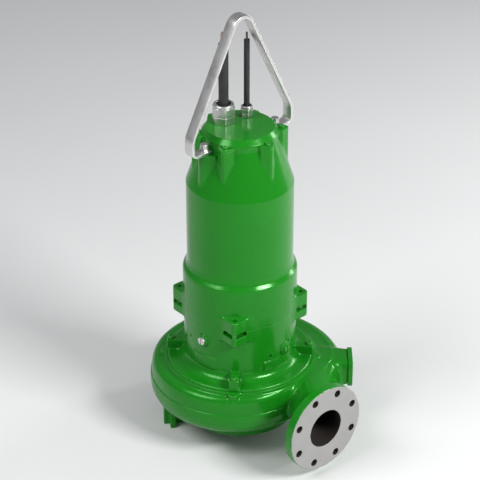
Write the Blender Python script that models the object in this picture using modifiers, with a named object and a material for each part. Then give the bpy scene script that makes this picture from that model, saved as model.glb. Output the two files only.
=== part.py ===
"""Submersible solids handling pump: a stepped motor housing with a lifting bail and two cable stubs,
on a seal housing and a three-footed scroll casing with a flanged outlet and a suction flange below.

Metres, +Z up, the floor at z = 0. The outlet faces -Y. Heights are above the floor, and places in
plan are from the pump's axis, which the empty pump_axis carries.
"""

import math

import bmesh
import bpy
from mathutils import Matrix, Vector

# Where the pump's axis stands, so that the bottom centre of its box is the origin
AXIS_X = -0.02055
AXIS_Y = 0.04316
GAP = 0.0003
TURN_STEPS = 48

# Outlet, to a 4 inch flange pattern
OUTLET_Z = 0.1375
OUTLET_REACH = 0.331
FLANGE_R = 0.1143
FLANGE_THICK = 0.024
FLANGE_BOLT_CIRCLE_R = 0.09525
FLANGE_HOLE_R = 0.0095
FLANGE_HOLES = 8
BORE_R = 0.0508
NECK_R = 0.065
NECK_ROOT_R = 0.052
BORE_ROOT_R = 0.041

# The neck's centre line in plan as a curve's four points, from inside the scroll to the flange
NECK_LINE = ((0.175, -0.060), (0.145, -0.168), (0.0, -0.245), (0.0, -OUTLET_REACH))

# Suction flange below the casing
SUCTION_BOTTOM = 0.039
SUCTION_TOP = 0.061
SUCTION_R = 0.148
SUCTION_BOLT_CIRCLE_R = 0.130
SUCTION_HOLE_R = 0.0105
SUCTION_HUB_R = 0.110
SUCTION_BORE_R = 0.070
WEAR_SEAT_R = 0.078
WEAR_SEAT_Z = 0.080
WEAR_RING_R = 0.064
WEAR_RING_TOP = 0.0965

# Scroll casing
CASING_BOTTOM = 0.0815
CASING_TOP = 0.190
CASING_RING_R = 0.192
CASING_RING_TOP = 0.2005
CUTWATER_TURN = -4.0
SCROLL_SWEEP = 300.0
SCROLL_R_START = 0.2045
SCROLL_R_END = 0.273
WALL = 0.013
CASING_MOUTH_R = 0.165
CLAMP_BOSS_R = 0.0156

# The scroll's wall upward as (height, inset at the cutwater, further inset at the full scroll)
SCROLL_WALL = (
    (CASING_BOTTOM, 0.0305, 0.004),
    (0.0845, 0.0195, 0.002),
    (0.0895, 0.0115, 0.001),
    (0.0970, 0.0055, 0.0005),
    (0.1100, 0.0015, 0.0),
    (0.1250, 0.0, 0.0),
    (0.1430, 0.0003, 0.0),
    (0.1455, 0.0027, 0.0),
    (0.1480, 0.0027, 0.0),
    (0.1600, 0.0027, 0.0020),
    (0.1720, 0.0031, 0.006),
    (0.1800, 0.0040, 0.010),
    (0.1860, 0.0062, 0.016),
    (CASING_TOP, 0.0095, 0.026),
)
CAVITY_LEVELS = (
    (CASING_BOTTOM + WALL, 0.012),
    (0.110, 0.0),
    (0.160, 0.0),
    (0.1775, 0.014),
)

# Feet
FOOT_RIB = 0.014
FOOT_OUTWARD = 0.021
FOOT_INWARD = 0.029
FOOT_ACROSS = 0.029
FOOT_TURNS = (-120.0, 120.0)
FOOT_R = 0.182
FOOT_TALL = 0.094
NECK_FOOT = (0.022, -0.232)
NECK_FOOT_TALL = 0.086

# Square side port
PORT_TURN = 50.0
PORT_REACH = 0.291
PORT_Z = 0.153
PORT_SIZE = 0.082
PORT_PLATE = 0.012
PORT_CORNER = 0.010
PORT_SCREW_REACH = PORT_SIZE / 2 - 0.012
PORT_SCREW_R = 0.0062
PORT_SCREW_TALL = 0.006

# Impeller
IMPELLER_R = 0.122
IMPELLER_TOP = 0.172
HUB_R = 0.030
VANES = 2
VANE_BOTTOM = 0.0985
VANE_SWEEP = 170.0
VANE_STEPS = 8

# Seal housing
CLAMP_FLANGE_R = 0.186
CLAMP_FLANGE_TOP = 0.2065
SEAL_BODY_R = 0.143
SPIGOT_BOTTOM = 0.184
LUG_TURNS = (-45.0, 45.0, 135.0, -135.0)
CLAMP_LUG_TOP = 0.2335
CLAMP_BOLT_R = 0.178
CLAMP_LUG_WIDE = 0.024
CLAMP_LUG_DEEP = 0.046

# Plugs in the seal housing as (name, turn, height), the first proud and the second in a ring
OIL_PLUG = ("oil_plug", -80.0, 0.3065)
CHECK_PLUG = ("check_plug", 11.5, 0.2690)
PLUG_FACE_R = 0.1475
PLUG_BOSS_R = 0.0155
PLUG_R = 0.0105

# Corner lugs at the seam between the housings
LUG_BOTTOM = 0.3235
SEAM = 0.3565
LUG_TOP = 0.391
LUG_HALF = 0.1244
LUG_ROOT = 0.055
LUG_ROUND = 0.012
LUG_BOLT_R = 0.1535
HOUSING_BOLT_R = 0.0045
HOUSING_HEAD_R = 0.0085
PRY_SLOT_TALL = 0.012
PRY_SLOT_LONG = 0.034
PRY_PILLAR = 0.008

# Motor housing
LOWER_R = 0.1444
LEDGE_BOTTOM = 0.4575
LEDGE_TOP = 0.4935
UPPER_R = 0.1333
CONE_TOP = 0.8225
CONE_TOP_R = 0.0945
BOSS_BOTTOM = 0.690
BOSS_TOP = 0.8125

# Bosses in plan as (half width, reach of the point where their 45 degree sides would meet, its round)
BAIL_BOSS = (0.030, 0.132, 0.0157)
SCREW_BOSS = (0.0206, 0.122, 0.0077)
BOSS_ROOT = 0.065
SCREW_BOSS_BOTTOM = 0.730

# Lid
LID_BOTTOM = 0.8345
LID_EDGE = 0.8405
LID_TOP = 0.8525
LID_FLAT_R = 0.076
LID_EAR_TOP = 0.8385
LID_SCREW_TURNS = (-60.0, 0.0, 60.0, 120.0, 180.0, -120.0)
LID_SCREW_CIRCLE_R = 0.1035
LID_SCREW_R = 0.0060
LID_SCREW_TALL = 0.0050

# Bail, a flat bar in the plane through the axis that faces the outlet
BAIL_BOLT_X = 0.112
BAIL_THICK = 0.008
BAIL_WIDE = 0.030
BAIL_TOE_X = 0.0995
BAIL_LEG_X = 0.155
BAIL_FOOT_BEND = 0.014
BAIL_ELBOW = 0.862
BAIL_ELBOW_BEND = 0.050
BAIL_BARS_MEET = 1.1735
BAIL_TOP_BEND = 0.030
BAIL_HOLE_R = 0.0068
BAIL_SHANK_R = 0.006
BAIL_HEAD_R = 0.0110
BAIL_WASHER_R = 0.0125
BAIL_WASHER_THICK = 0.0027
BAIL_HEAD_TALL = 0.0132

# Cable stubs, their core ends and their glands
POWER_AT = (-0.018, 0.040)
POWER_R = 0.01225
POWER_COLLAR = 0.872
POWER_NUT_TOP = 0.9025
POWER_GLAND_R = 0.0295
POWER_END = 1.0575
CONTROL_AT = (0.044, 0.027)
CONTROL_R = 0.00725
CONTROL_COLLAR = 0.864
CONTROL_NUT_TOP = 0.8835
CONTROL_GLAND_R = 0.0163
CONTROL_END = 1.0555
CORE_R = 0.0028
CORE_SPREAD = 0.0058
CORE_TURNS = (-80.0, 40.0, 160.0)
CORE_END = 1.0845


def clear_scene():
    for obj in list(bpy.data.objects):
        bpy.data.objects.remove(obj)


def collection(name):
    group = bpy.data.collections.new(name)
    bpy.context.scene.collection.children.link(group)
    return group


clear_scene()
PUMP = collection("solids_handling_pump")
CUTTERS = collection("cutters")
AXIS = bpy.data.objects.new("pump_axis", None)
AXIS.location = (AXIS_X, AXIS_Y, 0.0)
PUMP.objects.link(AXIS)


def material(name, colour, roughness, metallic=0.0):
    made = bpy.data.materials.new(name)
    made.use_nodes = True
    shader = made.node_tree.nodes["Principled BSDF"]
    shader.inputs["Base Color"].default_value = (*colour, 1.0)
    shader.inputs["Roughness"].default_value = roughness
    shader.inputs["Metallic"].default_value = metallic
    return made


GREEN = material("green_paint", (0.018, 0.246, 0.018), 0.25)
BARE_STEEL = material("stainless", (0.62, 0.62, 0.60), 0.32, 1.0)
RUBBER = material("cable_rubber", (0.025, 0.025, 0.027), 0.55)
CORE_COLOURS = material("core_colours", (0.60, 0.22, 0.10), 0.5)


def on_circle(turn, radius, height=0.0):
    """The point at this turn in degrees from the outlet's side, counted toward +X."""
    angle = math.radians(turn)
    return Vector((radius * math.sin(angle), -radius * math.cos(angle), height))


def placed(obj):
    obj.parent = AXIS
    return obj


def as_piece(obj, name, surface):
    """Makes a shape one of the pump's pieces."""
    obj.name = name
    obj.data.name = name
    obj.data.materials.clear()
    obj.data.materials.append(surface)
    for group in list(obj.users_collection):
        group.objects.unlink(obj)
    PUMP.objects.link(obj)
    return obj


def helper(name, mesh):
    """An object that only cuts or joins, until as_piece makes it a piece."""
    obj = bpy.data.objects.new(name, mesh)
    CUTTERS.objects.link(obj)
    return placed(obj)


def smooth(mesh, sharp_degrees=35.0):
    mesh.shade_smooth()
    mesh.set_sharp_from_angle(angle=math.radians(sharp_degrees))


def mesh_from(build, name):
    """A mesh from a function that fills a bmesh."""
    shape = bmesh.new()
    build(shape)
    mesh = bpy.data.meshes.new(name)
    shape.to_mesh(mesh)
    shape.free()
    return mesh


def rod(name, radius, start, end, sides=24, end_radius=None):
    """A cylinder or cone between two points."""
    start = Vector(start)
    end = Vector(end)
    along = end - start
    turn = along.to_track_quat("Z", "Y").to_matrix().to_4x4()
    where = Matrix.Translation((start + end) / 2) @ turn

    def build(shape):
        bmesh.ops.create_cone(
            shape, cap_ends=True, segments=sides, radius1=radius,
            radius2=radius if end_radius is None else end_radius,
            depth=along.length, matrix=where,
        )

    obj = helper(name, mesh_from(build, name))
    smooth(obj.data)
    return obj


def upright(name, radius, at, bottom, top, sides=24, end_radius=None):
    return rod(name, radius, (at[0], at[1], bottom), (at[0], at[1], top), sides, end_radius)


def block(name, size, centre, turn=0.0):
    """A box turned about the vertical."""
    where = (
        Matrix.Translation(centre)
        @ Matrix.Rotation(math.radians(turn), 4, "Z")
        @ Matrix.Diagonal((*size, 1.0))
    )

    def build(shape):
        bmesh.ops.create_cube(shape, size=1.0, matrix=where)

    return helper(name, mesh_from(build, name))


def turned(name, profile, steps=TURN_STEPS):
    """A turned shape, from its profile down the outer side as (radius, height) points."""
    count = len(profile)

    def build(shape):
        points = [shape.verts.new((radius, 0.0, height)) for radius, height in profile]
        closed = profile[0][0] > 0.0
        for index in range(count if closed else count - 1):
            shape.edges.new((points[index], points[(index + 1) % count]))

    obj = helper(name, mesh_from(build, name))
    screw = obj.modifiers.new("turn", "SCREW")
    screw.steps = steps
    screw.render_steps = steps
    screw.use_merge_vertices = True
    screw.merge_threshold = 1e-5
    screw.use_smooth_shade = True
    return obj


def plate(name, outline, bottom, top):
    """A flat outline in plan with a thickness, as a closed mesh."""
    curve = bpy.data.curves.new(name, "CURVE")
    curve.dimensions = "2D"
    curve.fill_mode = "BOTH"
    curve.extrude = (top - bottom) / 2
    spline = curve.splines.new("POLY")
    spline.points.add(len(outline) - 1)
    for point, (x, y) in zip(spline.points, outline):
        point.co = (x, y, 0.0, 1.0)
    spline.use_cyclic_u = True
    guide = bpy.data.objects.new(name, curve)
    bpy.context.scene.collection.objects.link(guide)
    graph = bpy.context.evaluated_depsgraph_get()
    mesh = bpy.data.meshes.new_from_object(guide.evaluated_get(graph))
    bpy.data.objects.remove(guide)
    shape = bmesh.new()
    shape.from_mesh(mesh)
    bmesh.ops.remove_doubles(shape, verts=shape.verts, dist=1e-5)
    bmesh.ops.dissolve_limit(shape, angle_limit=0.01, verts=shape.verts, edges=shape.edges)
    bmesh.ops.recalc_face_normals(shape, faces=shape.faces)
    bmesh.ops.translate(shape, verts=shape.verts, vec=(0.0, 0.0, (bottom + top) / 2))
    shape.to_mesh(mesh)
    shape.free()
    return helper(name, mesh)


def tilted(obj, matrix):
    """The shape moved and turned in its own mesh."""
    obj.data.transform(matrix)
    return obj


def lofted(name, rings):
    """A closed body through rings of like count, each an outline of points."""

    def build(shape):
        rows = [[shape.verts.new(point) for point in ring] for ring in rings]
        count = len(rows[0])
        for low, high in zip(rows, rows[1:]):
            for index in range(count):
                after = (index + 1) % count
                shape.faces.new((low[index], low[after], high[after], high[index]))
        shape.faces.new(rows[0])
        shape.faces.new(rows[-1])
        bmesh.ops.recalc_face_normals(shape, faces=shape.faces)
        bmesh.ops.triangulate(shape, faces=shape.faces)

    obj = helper(name, mesh_from(build, name))
    smooth(obj.data)
    return obj


def bevel(obj, width, segments=1, angle=40.0):
    rounded = obj.modifiers.new("edges", "BEVEL")
    rounded.width = width
    rounded.segments = segments
    rounded.limit_method = "ANGLE"
    rounded.angle_limit = math.radians(angle)
    return obj


def boolean(obj, others, operation):
    """One Boolean for all the shapes that a piece is joined from or cut by."""
    group = bpy.data.collections.new(f"{obj.name}_{operation.lower()}")
    CUTTERS.children.link(group)
    for other in others:
        CUTTERS.objects.unlink(other)
        group.objects.link(other)
        other.hide_render = True
        other.display_type = "WIRE"
    step = obj.modifiers.new(operation.lower(), "BOOLEAN")
    step.operation = operation
    step.operand_type = "COLLECTION"
    step.collection = group
    step.solver = "EXACT"
    return obj


def join(obj, others):
    return boolean(obj, others, "UNION")


def cut(obj, others):
    return boolean(obj, others, "DIFFERENCE")


def arc(centre, radius, start, end, steps):
    """Points round an arc in plan, angles in degrees from +X."""
    angles = [math.radians(start + (end - start) * step / steps) for step in range(steps + 1)]
    return [
        (centre[0] + radius * math.cos(angle), centre[1] + radius * math.sin(angle))
        for angle in angles
    ]


def scroll_share(turn):
    """How far round the scroll a turn lies: 0 at the cutwater, 1 where the neck leaves."""
    swept = (CUTWATER_TURN - turn) % 360.0
    if swept <= SCROLL_SWEEP:
        return swept / SCROLL_SWEEP
    back = (360.0 - swept) / (360.0 - SCROLL_SWEEP)
    return back * back * (3.0 - 2.0 * back)


def scroll_ring(height, inset, further_inset):
    """The scroll's outline at one height, drawn in by an inset that grows with the scroll."""
    ring = []
    for step in range(TURN_STEPS):
        turn = 360.0 * step / TURN_STEPS
        share = scroll_share(turn)
        radius = SCROLL_R_START + (SCROLL_R_END - SCROLL_R_START) * share
        ring.append(on_circle(turn, radius - inset - further_inset * share, height))
    return ring


def neck_point(share):
    """A point on the neck's centre line, from 0 inside the scroll to 1 at the flange, and its heading."""
    points = [Vector(point) for point in NECK_LINE]
    rest = 1.0 - share
    place = (
        points[0] * rest**3
        + points[1] * 3 * rest**2 * share
        + points[2] * 3 * rest * share**2
        + points[3] * share**3
    )
    heading = (
        (points[1] - points[0]) * rest**2
        + (points[2] - points[1]) * 2 * rest * share
        + (points[3] - points[2]) * share**2
    )
    return place, heading.normalized()


def neck_rings(radius, root_radius, shares, sides=28):
    """Rings along the neck, from root_radius where it leaves the scroll to its radius at the flange."""
    rings = []
    for share in shares:
        place, heading = neck_point(share)
        across = Vector((-heading.y, heading.x))
        tall = root_radius + (radius - root_radius) * min(1.0, share / 0.6)
        wide = root_radius + (radius - root_radius) * min(1.0, share / 0.9)
        ring = []
        for step in range(sides):
            angle = 2 * math.pi * step / sides
            side = place + across * wide * math.cos(angle)
            ring.append(Vector((side.x, side.y, OUTLET_Z + tall * math.sin(angle))))
        rings.append(ring)
    return rings


def cross_foot(name, centre, turn, top):
    """The two ribs of a foot with a cross section, one toward the axis and one across it."""
    outward = on_circle(turn, 1.0)
    middle = Vector((centre[0], centre[1], top / 2)) + outward * (FOOT_OUTWARD - FOOT_INWARD) / 2
    long_rib = block(f"{name}_rib", (FOOT_RIB, FOOT_OUTWARD + FOOT_INWARD, top), middle, turn)
    across_top = top - 0.001
    across = Vector((centre[0], centre[1], across_top / 2))
    cross_rib = block(f"{name}_cross_rib", (2 * FOOT_ACROSS, FOOT_RIB - 0.001, across_top), across, turn)
    return [long_rib, cross_rib]


def port_frame():
    """The side port's frame: X across its face, Y out of it, Z up, at the port's height on the axis."""
    outward = on_circle(PORT_TURN, 1.0)
    turn = math.atan2(outward.y, outward.x) - math.pi / 2
    return Matrix.Translation((0.0, 0.0, PORT_Z)) @ Matrix.Rotation(turn, 4, "Z")


def port_slab(name, size, near, far, corner):
    """A square slab on the side port with cut corners, between two distances from the axis."""
    half = size / 2
    cut_at = half - corner
    outline = (
        (-cut_at, -half), (cut_at, -half), (half, -cut_at), (half, cut_at),
        (cut_at, half), (-cut_at, half), (-half, cut_at), (-half, -cut_at),
    )
    slab = plate(name, outline, near, far)
    stand = Matrix.Rotation(math.radians(-90.0), 4, "X")
    return tilted(slab, port_frame() @ stand)


def bolt_circle(count, radius):
    """Places round a flange whose holes straddle its centre lines."""
    angles = [2 * math.pi * (index + 0.5) / count for index in range(count)]
    return [(radius * math.sin(angle), radius * math.cos(angle)) for angle in angles]


def suction_body():
    """The suction flange and its hub, which run up into the casing's floor."""
    edge = 0.0015
    profile = (
        (0.0, CASING_BOTTOM + WALL / 2), (SUCTION_HUB_R + 0.008, CASING_BOTTOM + WALL / 2),
        (SUCTION_HUB_R, CASING_BOTTOM - 0.006), (SUCTION_HUB_R, SUCTION_TOP + 0.006),
        (SUCTION_HUB_R + 0.006, SUCTION_TOP),
        (SUCTION_R - edge, SUCTION_TOP), (SUCTION_R, SUCTION_TOP - edge),
        (SUCTION_R, SUCTION_BOTTOM + edge), (SUCTION_R - edge, SUCTION_BOTTOM),
        (0.0, SUCTION_BOTTOM),
    )
    return turned("suction_body", profile)


def suction_bore():
    """The cutter for the inlet, stepped out for the wear ring."""
    profile = (
        (0.0, CASING_BOTTOM + WALL + 0.01), (WEAR_SEAT_R, CASING_BOTTOM + WALL + 0.01),
        (WEAR_SEAT_R, WEAR_SEAT_Z), (SUCTION_BORE_R, WEAR_SEAT_Z),
        (SUCTION_BORE_R, SUCTION_BOTTOM - 0.01), (0.0, SUCTION_BOTTOM - 0.01),
    )
    return turned("suction_bore", profile)


def volute():
    """The scroll casing in one casting, with its neck, flanges, feet, side port and clamp bosses."""
    wall = [scroll_ring(height, inset, further) for height, inset, further in SCROLL_WALL]
    casing = as_piece(lofted("scroll", wall), "volute", GREEN)

    ring = upright("casing_ring", CASING_RING_R, (0, 0), CASING_TOP - 0.01, CASING_RING_TOP, TURN_STEPS)
    neck_shares = [step / 8 for step in range(8)] + [0.97]
    neck = lofted("neck", neck_rings(NECK_R, NECK_ROOT_R, neck_shares))
    flange_back = -OUTLET_REACH + FLANGE_THICK
    flange = rod("flange", FLANGE_R, (0, -OUTLET_REACH, OUTLET_Z), (0, flange_back, OUTLET_Z), 56)
    hub = rod("flange_hub", NECK_R + 0.010, (0, flange_back - 0.012, OUTLET_Z),
              (0, flange_back + 0.018, OUTLET_Z), 28, NECK_R - 0.001)
    bosses = [
        upright(f"clamp_boss_{turn:.0f}", CLAMP_BOSS_R, on_circle(turn, CLAMP_BOLT_R + 0.0125),
                CASING_TOP - 0.02, CASING_RING_TOP - 0.001, 18)
        for turn in LUG_TURNS
    ]
    feet = cross_foot("foot_neck", NECK_FOOT, 0.0, NECK_FOOT_TALL)
    for turn in FOOT_TURNS:
        feet += cross_foot(f"foot_{turn:.0f}", on_circle(turn, FOOT_R), turn, FOOT_TALL)
    port_end = PORT_REACH - PORT_PLATE - GAP
    port = port_slab("port_stub", PORT_SIZE - 0.008, 0.20, port_end, PORT_CORNER - 0.002)
    join(casing, [bevel(ring, 0.002), neck, bevel(flange, 0.002), hub, suction_body(), *bosses, *feet, port])

    cavity = lofted("cavity", [scroll_ring(height, WALL + inset, 0.0) for height, inset in CAVITY_LEVELS])
    bore_shares = [0.1, 0.3, 0.5, 0.65, 0.8, 0.9, 1.0, 1.03]
    bore = lofted("bore", neck_rings(BORE_R, BORE_ROOT_R, bore_shares))
    mouth = upright("mouth", CASING_MOUTH_R, (0, 0), CASING_TOP - 0.025, CASING_RING_TOP + 0.01, TURN_STEPS)
    holes = []
    for x, up in bolt_circle(FLANGE_HOLES, FLANGE_BOLT_CIRCLE_R):
        start = (x, -OUTLET_REACH - 0.01, OUTLET_Z + up)
        holes.append(rod("flange_hole", FLANGE_HOLE_R, start, (x, flange_back + 0.016, OUTLET_Z + up), 16))
    for place in bolt_circle(FLANGE_HOLES, SUCTION_BOLT_CIRCLE_R):
        holes.append(
            upright("suction_hole", SUCTION_HOLE_R, place, SUCTION_BOTTOM - 0.01, SUCTION_TOP + 0.01, 12)
        )
    cut(casing, [cavity, bore, mouth, suction_bore(), *holes])


def wear_ring():
    """The ring that the impeller runs against, seated in the inlet's step."""
    outer = WEAR_SEAT_R - GAP
    bottom = WEAR_SEAT_Z + GAP
    profile = (
        (WEAR_RING_R + 0.002, WEAR_RING_TOP), (outer, WEAR_RING_TOP), (outer, bottom),
        (WEAR_RING_R, bottom), (WEAR_RING_R, WEAR_RING_TOP - 0.003),
    )
    as_piece(turned("ring", profile, 40), "wear_ring", BARE_STEEL)


def impeller():
    """A back plate with a hub and two long vanes, open toward the inlet."""
    seat = SPIGOT_BOTTOM - GAP
    plate_edge = IMPELLER_TOP - 0.009
    profile = (
        (0.0, seat), (0.040, seat), (0.040, IMPELLER_TOP), (IMPELLER_R - 0.002, IMPELLER_TOP),
        (IMPELLER_R, IMPELLER_TOP - 0.002), (IMPELLER_R, plate_edge), (0.060, plate_edge - 0.005),
        (HUB_R + 0.004, 0.140), (HUB_R, 0.100), (0.0, 0.100),
    )
    wheel = as_piece(turned("wheel", profile, 36), "impeller", GREEN)
    vanes = []
    for number in range(VANES):
        outer = []
        inner = []
        for step in range(VANE_STEPS + 1):
            share = step / VANE_STEPS
            angle = math.radians(360.0 * number / VANES + VANE_SWEEP * share)
            radius = 0.024 + (IMPELLER_R - 0.003 - 0.024) * share
            half = 0.006 - 0.002 * share
            outer.append(((radius + half) * math.cos(angle), (radius + half) * math.sin(angle)))
            inner.append(((radius - half) * math.cos(angle), (radius - half) * math.sin(angle)))
        vanes.append(plate(f"vane_{number}", outer + inner[::-1], VANE_BOTTOM, plate_edge + 0.003))
    join(wheel, vanes)

    nut = upright("nut", 0.019, (0, 0), 0.0885, 0.100 - GAP, 6)
    as_piece(bevel(nut, 0.002), "impeller_nut", BARE_STEEL)


def port_cover():
    """The side port's square cover and its four screws, which lie flush in it."""
    cover = port_slab("cover", PORT_SIZE, PORT_REACH - PORT_PLATE, PORT_REACH, PORT_CORNER)
    as_piece(bevel(cover, 0.0015), "port_cover", GREEN)
    frame = port_frame()
    seats = []
    corners = ((-1, -1), (1, -1), (1, 1), (-1, 1))
    for number, (across, up) in enumerate(corners, 1):
        x = across * PORT_SCREW_REACH
        z = up * PORT_SCREW_REACH
        seat = frame @ Vector((x, PORT_REACH - PORT_SCREW_TALL - GAP, z))
        low = frame @ Vector((x, PORT_REACH - PORT_SCREW_TALL, z))
        face = frame @ Vector((x, PORT_REACH, z))
        past = frame @ Vector((x, PORT_REACH + 0.01, z))
        seats.append(rod(f"port_seat_{number}", PORT_SCREW_R + GAP, seat, past, 16))
        head = rod("head", PORT_SCREW_R, low, face, 16)
        socket = rod(f"port_socket_{number}", PORT_SCREW_R / 2, (low + face) / 2, past, 6)
        as_piece(cut(head, [socket]), f"port_screw_{number}", GREEN)
    cut(cover, seats)


def lug(name, turn, bottom, top):
    """A corner of the square flange at the seam, rounded at its tip."""
    tip = LUG_HALF - LUG_ROUND
    outline = [(0.045, 0.045), (LUG_HALF, LUG_ROOT)]
    outline += arc((tip, tip), LUG_ROUND, 0.0, 90.0, 4)
    outline += [(LUG_ROOT, LUG_HALF)]
    corner = plate(name, outline, bottom, top)
    # The outline lies at 135 degrees from the outlet's side
    tilted(corner, Matrix.Rotation(math.radians(turn - 135.0), 4, "Z"))
    return corner


def pry_slots(name, turn):
    """The two slots beside a lug's tip, just under the seam, which leave a pillar at the corner."""
    slots = []
    across = 0.036
    middle = SEAM - PRY_SLOT_TALL / 2 + 0.001
    along = LUG_HALF - PRY_PILLAR - PRY_SLOT_LONG / 2
    for side in (0, 1):
        size = (across, PRY_SLOT_LONG) if side == 0 else (PRY_SLOT_LONG, across)
        centre = (LUG_HALF, along) if side == 0 else (along, LUG_HALF)
        slot = block(f"{name}_slot_{side}", (*size, PRY_SLOT_TALL + 0.002), (*centre, middle))
        slots.append(tilted(slot, Matrix.Rotation(math.radians(turn - 135.0), 4, "Z")))
    return slots


def seal_housing():
    """The oil housing, with the lower corner lugs and the clamp lugs over the casing."""
    spigot = CASING_MOUTH_R - GAP
    seat = CASING_RING_TOP + GAP
    profile = (
        (0.0, SEAM - GAP), (SEAL_BODY_R - 0.0005, SEAM - GAP), (SEAL_BODY_R, SEAM - 0.001),
        (SEAL_BODY_R, 0.262), (0.1445, 0.247), (0.148, 0.233), (0.154, 0.221), (0.163, 0.2122),
        (0.172, CLAMP_FLANGE_TOP), (CLAMP_FLANGE_R - 0.003, CLAMP_FLANGE_TOP),
        (CLAMP_FLANGE_R, CLAMP_FLANGE_TOP - 0.003), (CLAMP_FLANGE_R, seat),
        (spigot, seat), (spigot, SPIGOT_BOTTOM), (0.0, SPIGOT_BOTTOM),
    )
    body = as_piece(turned("seal_body", profile), "seal_housing", GREEN)
    clamp_bottom = CASING_RING_TOP + 0.002
    tall = CLAMP_LUG_TOP - clamp_bottom
    joined = []
    cutters = []
    for turn in LUG_TURNS:
        joined.append(lug(f"lower_lug_{turn:.0f}", turn, LUG_BOTTOM, SEAM - GAP))
        at = on_circle(turn, CLAMP_BOLT_R - 0.012, clamp_bottom + tall / 2)
        clamp = block(f"clamp_lug_{turn:.0f}", (CLAMP_LUG_WIDE, CLAMP_LUG_DEEP, tall), at, turn)
        joined.append(bevel(clamp, 0.003))
        cutters += pry_slots(f"pry_{turn:.0f}", turn)
        hole = on_circle(turn, LUG_BOLT_R)
        cutters.append(
            upright(f"lug_hole_{turn:.0f}", HOUSING_BOLT_R + GAP, hole, LUG_BOTTOM - 0.01, SEAM + 0.01, 12)
        )
    for name, turn, height in (OIL_PLUG, CHECK_PLUG):
        start = on_circle(turn, 0.12, height)
        joined.append(rod(f"{name}_boss", PLUG_BOSS_R, start, on_circle(turn, PLUG_FACE_R, height), 20))
    join(body, joined)
    cut(body, cutters)


def plugs():
    """Two slotted plugs on the bosses of the seal housing."""
    for (name, turn, height), surface in ((OIL_PLUG, BARE_STEEL), (CHECK_PLUG, GREEN)):
        start = on_circle(turn, PLUG_FACE_R + GAP, height)
        end = on_circle(turn, PLUG_FACE_R + 0.006, height)
        head = rod("head", PLUG_R, start, end, 20)
        slot_at = on_circle(turn, PLUG_FACE_R + 0.0068, height)
        slot = block(f"{name}_slot", (0.0025, 0.006, 0.03), slot_at, turn)
        as_piece(cut(bevel(head, 0.001), [slot]), name, surface)


def housing_bolts():
    """Hexagon bolts up through the corner lugs, their ends showing in the upper lugs' holes."""
    for number, turn in enumerate(LUG_TURNS, 1):
        at = on_circle(turn, LUG_BOLT_R)
        head_top = LUG_BOTTOM - GAP
        head = upright("head", HOUSING_HEAD_R, at, head_top - 0.0065, head_top, 6)
        shank = upright(f"housing_shank_{number}", HOUSING_BOLT_R, at, head_top - 0.003, LUG_TOP - 0.008, 12)
        as_piece(join(head, [shank]), f"housing_bolt_{number}", BARE_STEEL)


def clamp_bolts():
    for number, turn in enumerate(LUG_TURNS, 1):
        at = on_circle(turn, CLAMP_BOLT_R)
        head = upright("head", 0.0090, at, CLAMP_LUG_TOP + GAP, CLAMP_LUG_TOP + 0.0068, 6)
        as_piece(head, f"clamp_bolt_{number}", GREEN)


def boss(name, plan, turn, bottom, top):
    """An upright boss that narrows outward to a rounded point; on the cone it runs out as a V."""
    half, reach, rounding = plan
    outline = [(BOSS_ROOT, half), (BOSS_ROOT, -half), (reach - half, -half)]
    outline += arc((reach - rounding * math.sqrt(2.0), 0.0), rounding, -45.0, 45.0, 4)
    outline += [(reach - half, half)]
    # The outline lies at 90 degrees from the outlet's side
    return tilted(plate(name, outline, bottom, top), Matrix.Rotation(math.radians(turn - 90.0), 4, "Z"))


def motor_housing():
    """The stepped round housing with its corner lugs, its cone and the bosses round the cone."""
    top = LID_BOTTOM - GAP
    profile = (
        (0.0, top), (CONE_TOP_R, top), (CONE_TOP_R, CONE_TOP + 0.004), (CONE_TOP_R + 0.001, CONE_TOP),
        (0.1155, 0.7585), (0.1290, 0.7185), (0.1323, 0.7100), (UPPER_R, 0.7000),
        (UPPER_R, LEDGE_TOP), (0.1338, LEDGE_TOP - 0.006), (0.1362, LEDGE_TOP - 0.016),
        (0.1415, LEDGE_BOTTOM + 0.010), (0.1438, LEDGE_BOTTOM + 0.003), (LOWER_R, LEDGE_BOTTOM - 0.004),
        (LOWER_R, SEAM + 0.0008), (LOWER_R - 0.0008, SEAM), (0.0, SEAM),
    )
    body = as_piece(turned("motor_body", profile), "motor_housing", GREEN)
    joined = []
    cutters = []
    for turn in LUG_TURNS:
        joined.append(bevel(lug(f"upper_lug_{turn:.0f}", turn, SEAM, LUG_TOP), 0.002))
        hole = on_circle(turn, LUG_BOLT_R)
        cutters.append(
            upright(f"top_hole_{turn:.0f}", HOUSING_BOLT_R + GAP, hole, SEAM - 0.01, LUG_TOP + 0.01, 12)
        )
    for side in (-1, 1):
        at = (side * BAIL_BOLT_X, 0.0)
        joined.append(bevel(boss(f"bail_boss_{side}", BAIL_BOSS, 90.0 * side, BOSS_BOTTOM, BOSS_TOP), 0.0015))
        cutters.append(
            upright(f"bail_hole_{side}", BAIL_SHANK_R + GAP, at, BOSS_TOP - 0.030, BOSS_TOP + 0.01, 16)
        )
    for turn in LID_SCREW_TURNS:
        joined.append(boss(f"screw_boss_{turn:.0f}", SCREW_BOSS, turn, SCREW_BOSS_BOTTOM, top))
    join(body, joined)
    cut(body, cutters)


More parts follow.
